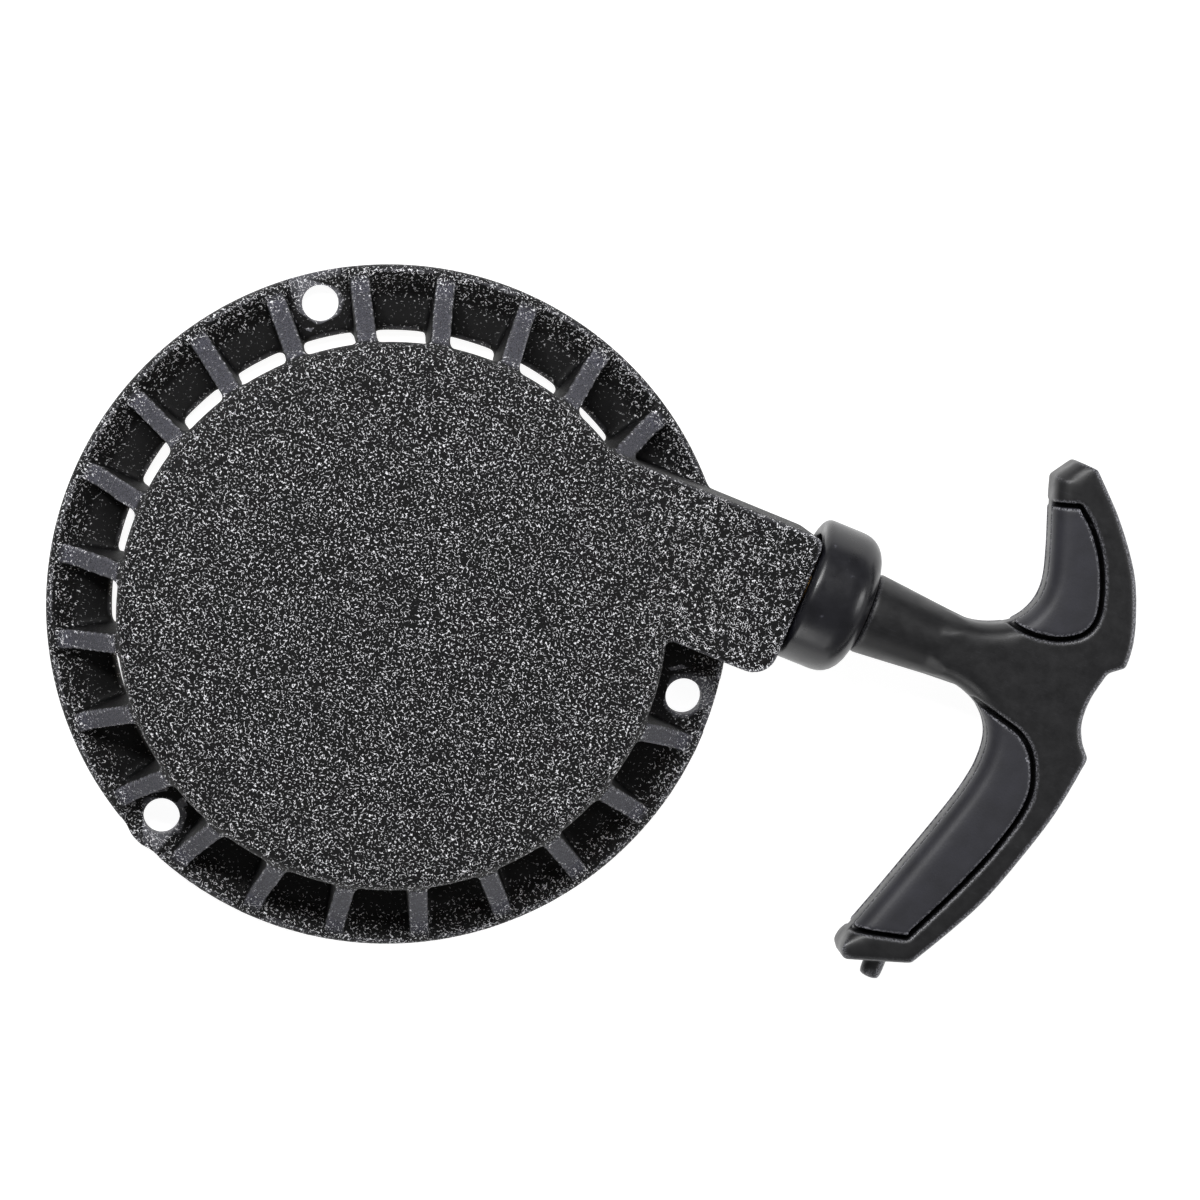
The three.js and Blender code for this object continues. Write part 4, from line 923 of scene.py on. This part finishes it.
# ------------------------------------------------------------------ bronze bush and bushing
# Sintered bronze, pressed from powder and soaked in oil: a dull brown metal full of fine
# pores. One part is the eyelet that the rope rubs on, the other lines the reel's bore.
PORE_MM = 0.35
bronze = blank_material("oiled_sintered_bronze")
place = add_node(bronze, "TexCoord")
pores = add_node(bronze, "TexVoronoi", inputs={
    "Vector": place.outputs["Object"], "Scale": 1 / (PORE_MM * MM)})
oil = add_node(bronze, "TexNoise", inputs={
    "Vector": place.outputs["Object"], "Scale": 1 / (3 * MM), "Detail": 3})
open_pore = add_node(bronze, "MapRange", inputs={
    "Value": pores.outputs["Distance"], 1: 0.12, 2: 0.35, 3: 0.0, 4: 1.0})
body_tint = add_node(bronze, "Mix", {"data_type": "RGBA"}, {
    0: oil.outputs["Fac"], 6: linear(0x8C6B3C), 7: linear(0xB48E55)})
colour = add_node(bronze, "Mix", {"data_type": "RGBA"}, {
    0: open_pore, 6: linear(0x3E2D18), 7: body_tint.outputs[2]})
gloss = add_node(bronze, "MapRange", inputs={
    "Value": oil.outputs["Fac"], 1: 0.35, 2: 0.65, 3: 0.3, 4: 0.5})
pits = add_node(bronze, "Bump", inputs={
    "Height": open_pore, "Strength": 0.4, "Distance": 0.05 * MM})
metal = add_node(bronze, "BsdfPrincipled", inputs={
    "Base Color": colour.outputs[2], "Metallic": 1.0, "Roughness": gloss,
    "Normal": pits})
add_node(bronze, "OutputMaterial", inputs={"Surface": metal})

bush_low, bush_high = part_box("rope_guide_bush")
EYE_R = 2.55
BUSH_R = 4.85
FLANGE_R = (bush_high.y - bush_low.y) / 2 / MM
BUSH_IN_X = bush_low.x / MM
BUSH_OUT_X = bush_high.x / MM
fixed(along_x(turned("rope_eyelet", [
    (EYE_R + 0.7, BUSH_IN_X), (BUSH_R, BUSH_IN_X), (BUSH_R, NECK_END_X + 0.3),
    (FLANGE_R, NECK_END_X + 0.3), (FLANGE_R, BUSH_OUT_X - 0.5),
    (FLANGE_R - 0.6, BUSH_OUT_X), (EYE_R + 1.1, BUSH_OUT_X),
    (EYE_R + 0.5, BUSH_OUT_X - 0.2), (EYE_R + 0.14, BUSH_OUT_X - 0.6), (EYE_R, BUSH_OUT_X - 1.1),
    (EYE_R, BUSH_IN_X + 0.8)], 64, hollow=True), (0, PULL_Y, PULL_Z)),
    "housing", "rope_guide_bush", bronze, 0.1)

bushing_low, bushing_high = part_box("reel_bushing")
BUSHING_R = bushing_high.x / MM
fixed(turned("reel_sleeve", [
    (6.3, bushing_low.z / MM), (BUSHING_R, bushing_low.z / MM), (BUSHING_R, bushing_high.z / MM),
    (6.3, bushing_high.z / MM)], 96, hollow=True), "reel", "reel_bushing", bronze, 0.2)


# ------------------------------------------------------------------ reel
# One piece of natural nylon, moulded: two flanges on a core with the rope's groove between
# them, shallow coring pockets in the face towards the engine, and a hub for the spring.
reel_low, reel_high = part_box("reel")
REEL_R = reel_high.x / MM
HUB_LOW_Z = reel_low.z / MM
HUB_HIGH_Z = reel_high.z / MM
HUB_R = 12
FACE_Z = HUB_LOW_Z + 1.9
GROOVE_LOW_Z = FACE_Z + 2
GROOVE_HIGH_Z = GROOVE_LOW_Z + 5.9
BACK_Z = GROOVE_HIGH_Z + 1.5
CORE_R = 23.475
PIN_RING_R = 17.5
CORING_COUNT = 12
reel = turned("moulded_reel", [
    (8, HUB_LOW_Z), (HUB_R, HUB_LOW_Z), (HUB_R, FACE_Z), (REEL_R - 0.6, FACE_Z), (REEL_R, FACE_Z + 0.6),
    (REEL_R, GROOVE_LOW_Z - 0.3), (REEL_R - 0.4, GROOVE_LOW_Z), (CORE_R + 0.5, GROOVE_LOW_Z),
    (CORE_R, GROOVE_LOW_Z + 0.5), (CORE_R, GROOVE_HIGH_Z - 0.5), (CORE_R + 0.5, GROOVE_HIGH_Z),
    (REEL_R - 0.4, GROOVE_HIGH_Z), (REEL_R, GROOVE_HIGH_Z + 0.3), (REEL_R, BACK_Z - 0.6),
    (REEL_R - 0.6, BACK_Z), (HUB_R + 0.8, BACK_Z), (HUB_R, BACK_Z + 0.8), (HUB_R, HUB_HIGH_Z - 0.4),
    (HUB_R - 0.4, HUB_HIGH_Z), (8, HUB_HIGH_Z)], 160, hollow=True)
coring = []
for i in range(CORING_COUNT):
    start, end = 360 / CORING_COUNT * i + 3, 360 / CORING_COUNT * (i + 1) - 3
    coring.append(plate("coring", [
        *[at_angle(42, angle) for angle in (start, (start + end) / 2, end)],
        *[at_angle(27, angle) for angle in (end - 1.5, (start + end) / 2, start + 1.5)]],
        FACE_Z - 1, FACE_Z + 0.9))
cut(reel, *coring)
cut(reel,
    moved(turned("knot_pocket", [(4.5, GROOVE_LOW_Z), (4.5, BACK_Z + 2)], 48),
          (*at_angle(REEL_KNOT_RING_R, REEL_KNOT_AT), 0)),
    tube("rope_channel", [(x, y, PULL_Z) for x, y in [
        *spiral[-14:], *tail[1:], at_angle(REEL_KNOT_RING_R, REEL_KNOT_AT)]], ROPE_R + 0.9, 24),
    plate("spring_notch", [(HUB_R - 2, -0.8), (HUB_R + 2, -0.8), (HUB_R + 2, 0.8), (HUB_R - 2, 0.8)],
          BACK_Z + 0.3, BACK_Z + 7),
    *[moved(turned("pin_hole", [(2.2, FACE_Z - 1), (2.2, PULL_Z + 0.3)], 32), (0, PIN_RING_R * side, 0))
      for side in (1, -1)])

FLOW_MM = 9
natural = blank_material("natural_moulded_nylon")
place = add_node(natural, "TexCoord")
in_plan = add_node(natural, "VectorMath", {"operation": "MULTIPLY"},
                   {0: place.outputs["Object"], 1: (1, 1, 0)})
radius = add_node(natural, "VectorMath", {"operation": "LENGTH"}, {0: in_plan})
flow = add_node(natural, "TexNoise", inputs={
    "Vector": place.outputs["Object"], "Scale": 1 / (FLOW_MM * MM), "Detail": 3, "Distortion": 0.6})
skin = add_node(natural, "TexNoise", inputs={
    "Vector": place.outputs["Object"], "Scale": 1 / (0.2 * MM), "Detail": 2})
greasy = add_node(natural, "MapRange", inputs={
    "Value": radius.outputs["Value"], 1: 0.011, 2: 0.024, 3: 0.55, 4: 0.0})
smeared = add_node(natural, "Math", {"operation": "MULTIPLY"}, {0: greasy, 1: flow.outputs["Fac"]})
milky = add_node(natural, "Mix", {"data_type": "RGBA"}, {
    0: flow.outputs["Fac"], 6: linear(0xC3B99F), 7: linear(0xD9D1BC)})
stained = add_node(natural, "Mix", {"data_type": "RGBA"}, {
    0: smeared, 6: milky.outputs[2], 7: linear(0x6E6350)})
gloss = add_node(natural, "MapRange", inputs={
    "Value": smeared, 1: 0.0, 2: 0.4, 3: 0.46, 4: 0.25})
fine = add_node(natural, "Bump", inputs={
    "Height": skin.outputs["Fac"], "Strength": 0.2, "Distance": 0.03 * MM})
nylon = add_node(natural, "BsdfPrincipled", inputs={
    "Base Color": stained.outputs[2], "Roughness": gloss, "Normal": fine,
    "IOR": 1.53, "Subsurface Weight": 0.12, "Subsurface Scale": 1.5 * MM})
add_node(natural, "OutputMaterial", inputs={"Surface": nylon})
fixed(reel, "reel", "reel", natural)


# ------------------------------------------------------------------ recoil spring and cup
# A long strip of blued spring steel, coiled flat in a pressed and plated cup. It hooks into
# the reel's hub inside and through the cup's wall outside, and winds the rope back in. Its
# inner hook is a piece of its own, because it turns with the reel.
cup_low, cup_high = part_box("spring_cup")
CUP_R = cup_high.x / MM
CUP_LOW_Z = cup_low.z / MM
CUP_HIGH_Z = cup_high.z / MM
CUP_WALL = 1
CUP_BORE_R = 7.8
cup = turned("pressed_spring_cup", [
    (CUP_BORE_R, CUP_HIGH_Z - CUP_WALL), (CUP_R - CUP_WALL - 0.6, CUP_HIGH_Z - CUP_WALL),
    (CUP_R - CUP_WALL, CUP_HIGH_Z - CUP_WALL - 0.6), (CUP_R - CUP_WALL, CUP_LOW_Z), (CUP_R, CUP_LOW_Z),
    (CUP_R, CUP_HIGH_Z - 1.4), (CUP_R - 0.4, CUP_HIGH_Z - 0.4), (CUP_R - 1.4, CUP_HIGH_Z),
    (CUP_BORE_R, CUP_HIGH_Z)], 128, hollow=True)
cut(cup, plate("strip_slot", [
    (CUP_R - 2, -0.8), (CUP_R + 2, -0.8), (CUP_R + 2, 0.8), (CUP_R - 2, 0.8)],
    CUP_LOW_Z - 1, CUP_HIGH_Z - CUP_WALL))
fixed(cup, "housing", "spring_cup", zinc)

blued = blank_material("blued_spring_steel")
place = add_node(blued, "TexCoord")
temper = add_node(blued, "TexNoise", inputs={
    "Vector": place.outputs["Object"], "Scale": 1 / (6 * MM), "Detail": 3})
rolled = add_node(blued, "Mapping", inputs={
    "Vector": place.outputs["Object"], "Scale": (1, 1, 12)})
streaks = add_node(blued, "TexNoise", inputs={
    "Vector": rolled, "Scale": 1 / (2.5 * MM), "Detail": 3})
edges = add_node(blued, "NewGeometry")
bare = add_node(blued, "MapRange", inputs={
    "Value": edges.outputs["Pointiness"], 1: 0.53, 2: 0.6, 3: 0.0, 4: 0.7})
tint = add_node(blued, "Mix", {"data_type": "RGBA"}, {
    0: temper.outputs["Fac"], 6: linear(0x3D4452), 7: linear(0x5C6069)})
colour = add_node(blued, "Mix", {"data_type": "RGBA"}, {
    0: bare, 6: tint.outputs[2], 7: linear(0xA6A8AA)})
gloss = add_node(blued, "MapRange", inputs={
    "Value": streaks.outputs["Fac"], 1: 0.3, 2: 0.7, 3: 0.22, 4: 0.42})
steel = add_node(blued, "BsdfPrincipled", inputs={
    "Base Color": colour.outputs[2], "Metallic": 1.0, "Roughness": gloss})
add_node(blued, "OutputMaterial", inputs={"Surface": steel})

strip_low, strip_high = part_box("recoil_spring")
STRIP_T = 0.6
STRIP_TURNS = 6
STRIP_STEPS = 60
coil_in, coil_out = HUB_R + 0.3 + STRIP_T, CUP_R - CUP_WALL - 0.3 - STRIP_T
middle_line = [*[
    at_angle(coil_in + (coil_out - coil_in) * i / (STRIP_TURNS * STRIP_STEPS), 360 * i / STRIP_STEPS)
    for i in range(STRIP_TURNS * STRIP_STEPS + 1)], (CUP_R, 0)]
skins = []
for side in (1, -1):
    skin = []
    for i, (x, y) in enumerate(middle_line):
        before, after = middle_line[max(i - 1, 0)], middle_line[min(i + 1, len(middle_line) - 1)]
        length = math.dist(before, after)
        across_x, across_y = (before[1] - after[1]) / length, (after[0] - before[0]) / length
        skin.append((x + side * across_x * STRIP_T / 2, y + side * across_y * STRIP_T / 2))
    skins.append(skin)
hook = plate("strip_hook", [
    (HUB_R - 1.6, -STRIP_T / 2), (coil_in - STRIP_T / 2, -STRIP_T / 2),
    (coil_in - STRIP_T / 2, STRIP_T / 2), (HUB_R - 1.6, STRIP_T / 2)],
    strip_low.z / MM, strip_high.z / MM)
rounded(hook, 0.1)
shaded(hook)
painted(hook, blued)
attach(hook, "reel")
strip = plate("coiled_strip", [*skins[0], *reversed(skins[1])], strip_low.z / MM, strip_high.z / MM)
fixed(strip, "housing", "recoil_spring", blued, 0.1)


# ------------------------------------------------------------------ wire springs
# Round music wire, blued: two turns under the reel's hub press on the guide plate, and a
# single open turn on each pawl's pin pulls that pawl back in.
def wire_coil(name, r, box, turns, wire, centre=(0, 0), start=0):
    low, high = box[0].z / MM + wire / 2, box[1].z / MM - wire / 2
    steps = int(turns * 48)
    points = []
    for i in range(steps + 1):
        x, y = at_angle(r, start + 360 * turns * i / steps)
        points.append((centre[0] + x, centre[1] + y, low + (high - low) * i / steps))
    return tube(name, points, wire / 2 * 0.98, 12)


fixed(wire_coil("friction_coil", 8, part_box("friction_spring"), 2, 0.9),
      "housing", "friction_spring", blued)
for number, side in ((1, 1), (2, -1)):
    spring = wire_coil(f"pawl_return_spring_{number}", 2.8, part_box(f"pawl_spring_{number}"), 0.9, 0.6,
                       (0, PIN_RING_R * side), 0 if side == 1 else 180)
    fixed(spring, "reel", f"pawl_spring_{number}", blued)


# ------------------------------------------------------------------ pawls and pins
# Two pawls blanked from hardened steel, each swinging out on a headless pin pressed into the
# reel. Their cut edges are rounded by tumbling and their tips are polished by the ratchet.
hard = blank_material("hardened_blanked_steel")
place = add_node(hard, "TexCoord")
scale_marks = add_node(hard, "TexNoise", inputs={
    "Vector": place.outputs["Object"], "Scale": 1 / (2 * MM), "Detail": 4, "Roughness": 0.65})
drawn = add_node(hard, "Mapping", inputs={
    "Vector": place.outputs["Object"], "Scale": (2, 14, 2)})
scratches = add_node(hard, "TexNoise", inputs={
    "Vector": drawn, "Scale": 1 / (1.5 * MM), "Detail": 2})
polished = add_node(hard, "MapRange", inputs={
    "Value": scratches.outputs["Fac"], 1: 0.58, 2: 0.68, 3: 0.0, 4: 0.85})
tint = add_node(hard, "Mix", {"data_type": "RGBA"}, {
    0: scale_marks.outputs["Fac"], 6: linear(0x77767A), 7: linear(0xA5A29C)})
colour = add_node(hard, "Mix", {"data_type": "RGBA"}, {
    0: polished, 6: tint.outputs[2], 7: linear(0xD5D3CE)})
gloss = add_node(hard, "MapRange", inputs={
    "Value": scratches.outputs["Fac"], 1: 0.35, 2: 0.65, 3: 0.28, 4: 0.48})
steel = add_node(hard, "BsdfPrincipled", inputs={
    "Base Color": colour.outputs[2], "Metallic": 1.0, "Roughness": gloss})
add_node(hard, "OutputMaterial", inputs={"Surface": steel})

PAWL_T = 3
EYE_OUT_R = 3.9
PAWL_REACH = 15
PEG_REACH = 8
PEG_R = 1.3
guide_low, guide_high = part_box("pawl_guide")
GUIDE_R = guide_high.x / MM
for number, side in ((1, 1), (2, -1)):
    node = f"pawl_{number}"
    pawl_low, pawl_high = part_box(node)
    peg_bottom, pawl_top = pawl_low.z / MM, pawl_high.z / MM
    pawl_bottom = pawl_top - PAWL_T
    pawl = plate(f"blanked_pawl_{number}", [
        *arc((0, 0), EYE_OUT_R, 270, 90, 18),
        *through((PAWL_REACH * 0.12, EYE_OUT_R * 0.98), (PAWL_REACH * 0.4, EYE_OUT_R * 0.85),
                 (PAWL_REACH * 0.75, EYE_OUT_R * 0.5), (PAWL_REACH - 0.6, EYE_OUT_R * 0.35), steps=5),
        (PAWL_REACH, -EYE_OUT_R * 0.4), (PAWL_REACH * 0.8, -EYE_OUT_R * 0.7)], pawl_bottom, pawl_top)
    cut(pawl, turned("eye", [(2.2, pawl_bottom - 1), (2.2, pawl_top + 1)], 32))
    rounded(pawl, 0.25)
    peg = turned("peg", [
        (PEG_R - 0.3, peg_bottom), (PEG_R, peg_bottom + 0.3), (PEG_R, pawl_bottom + 1)], 24)
    cut(pawl, moved(peg, (PEG_REACH, 0, 0)), operation="UNION")
    moved(pawl, (0, PIN_RING_R * side, 0), (0, 0, 0 if side == 1 else 180))
    fixed(pawl, node, node, hard)
    pin_low, pin_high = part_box(f"pawl_pin_{number}")
    pin_r = (pin_high.x - pin_low.x) / 2 / MM
    fixed(moved(turned(f"pressed_pin_{number}", [
        (pin_r - 0.35, pin_low.z / MM), (pin_r, pin_low.z / MM + 0.35), (pin_r, pin_high.z / MM - 0.35),
        (pin_r - 0.35, pin_high.z / MM)], 32), (0, PIN_RING_R * side, 0)),
        "reel", f"pawl_pin_{number}", hard)


# ------------------------------------------------------------------ guide plate
# Black glass-filled nylon disc that drags behind the reel: each slot leads a pawl's peg
# outwards as the plate lags. Its face is satin, with pale hairs of glass and a rubbed rim.
PAWL_SWING = 25
GUIDE_TURN = 20
guide = turned("guide_disc", [
    (6.3, guide_low.z / MM), (GUIDE_R, guide_low.z / MM), (GUIDE_R, guide_high.z / MM),
    (6.3, guide_high.z / MM)], 128, hollow=True)
slots = []
for side in (0, 180):
    for k in range(9):
        share = k / 8
        peg_x, peg_y = at_angle(PEG_REACH, PAWL_SWING * share)
        out_y = peg_y + PIN_RING_R
        reach = math.hypot(peg_x, out_y)
        angle = math.degrees(math.atan2(out_y, peg_x))
        slots.append(moved(turned("peg_slot", [
            (PEG_R + 0.45, guide_low.z / MM - 1), (PEG_R + 0.45, guide_high.z / MM + 1)], 32),
            (*at_angle(reach, angle + side - GUIDE_TURN * share), 0)))
cut(guide, *slots)
cut(guide, turned("washer_relief", [(11, guide_low.z / MM - 1), (11, guide_low.z / MM + 0.25)], 96))
filled = blank_material("glass_filled_black_nylon")
place = add_node(filled, "TexCoord")
hairs = add_node(filled, "Mapping", inputs={
    "Vector": place.outputs["Object"], "Rotation": (0, 0, 0.6), "Scale": (1, 7, 1)})
glass = add_node(filled, "TexNoise", inputs={
    "Vector": hairs, "Scale": 1 / (1.2 * MM), "Detail": 3, "Roughness": 0.7})
in_plan = add_node(filled, "VectorMath", {"operation": "MULTIPLY"},
                   {0: place.outputs["Object"], 1: (1, 1, 0)})
radius = add_node(filled, "VectorMath", {"operation": "LENGTH"}, {0: in_plan})
rubbed_and_painted_light = add_node(filled, "MapRange", inputs={
    "Value": radius.outputs["Value"], 1: (GUIDE_R - 0.6) * MM, 2: GUIDE_R * MM, 3: 0.0, 4: 0.5})
hair = add_node(filled, "MapRange", inputs={
    "Value": glass.outputs["Fac"], 1: 0.5, 2: 0.75, 3: 0.0, 4: 1.0})
tint = add_node(filled, "Mix", {"data_type": "RGBA"}, {
    0: hair, 6: linear(0x141416), 7: linear(0x3C3C40)})
colour = add_node(filled, "Mix", {"data_type": "RGBA"}, {
    0: rubbed_and_painted_light, 6: tint.outputs[2], 7: linear(0x5A5A5E)})
gloss = add_node(filled, "MapRange", inputs={
    "Value": glass.outputs["Fac"], 1: 0.3, 2: 0.7, 3: 0.42, 4: 0.62})
nylon = add_node(filled, "BsdfPrincipled", inputs={
    "Base Color": colour.outputs[2], "Roughness": gloss, "IOR": 1.53})
add_node(filled, "OutputMaterial", inputs={"Surface": nylon})
fixed(guide, "guide_plate", "pawl_guide", filled)
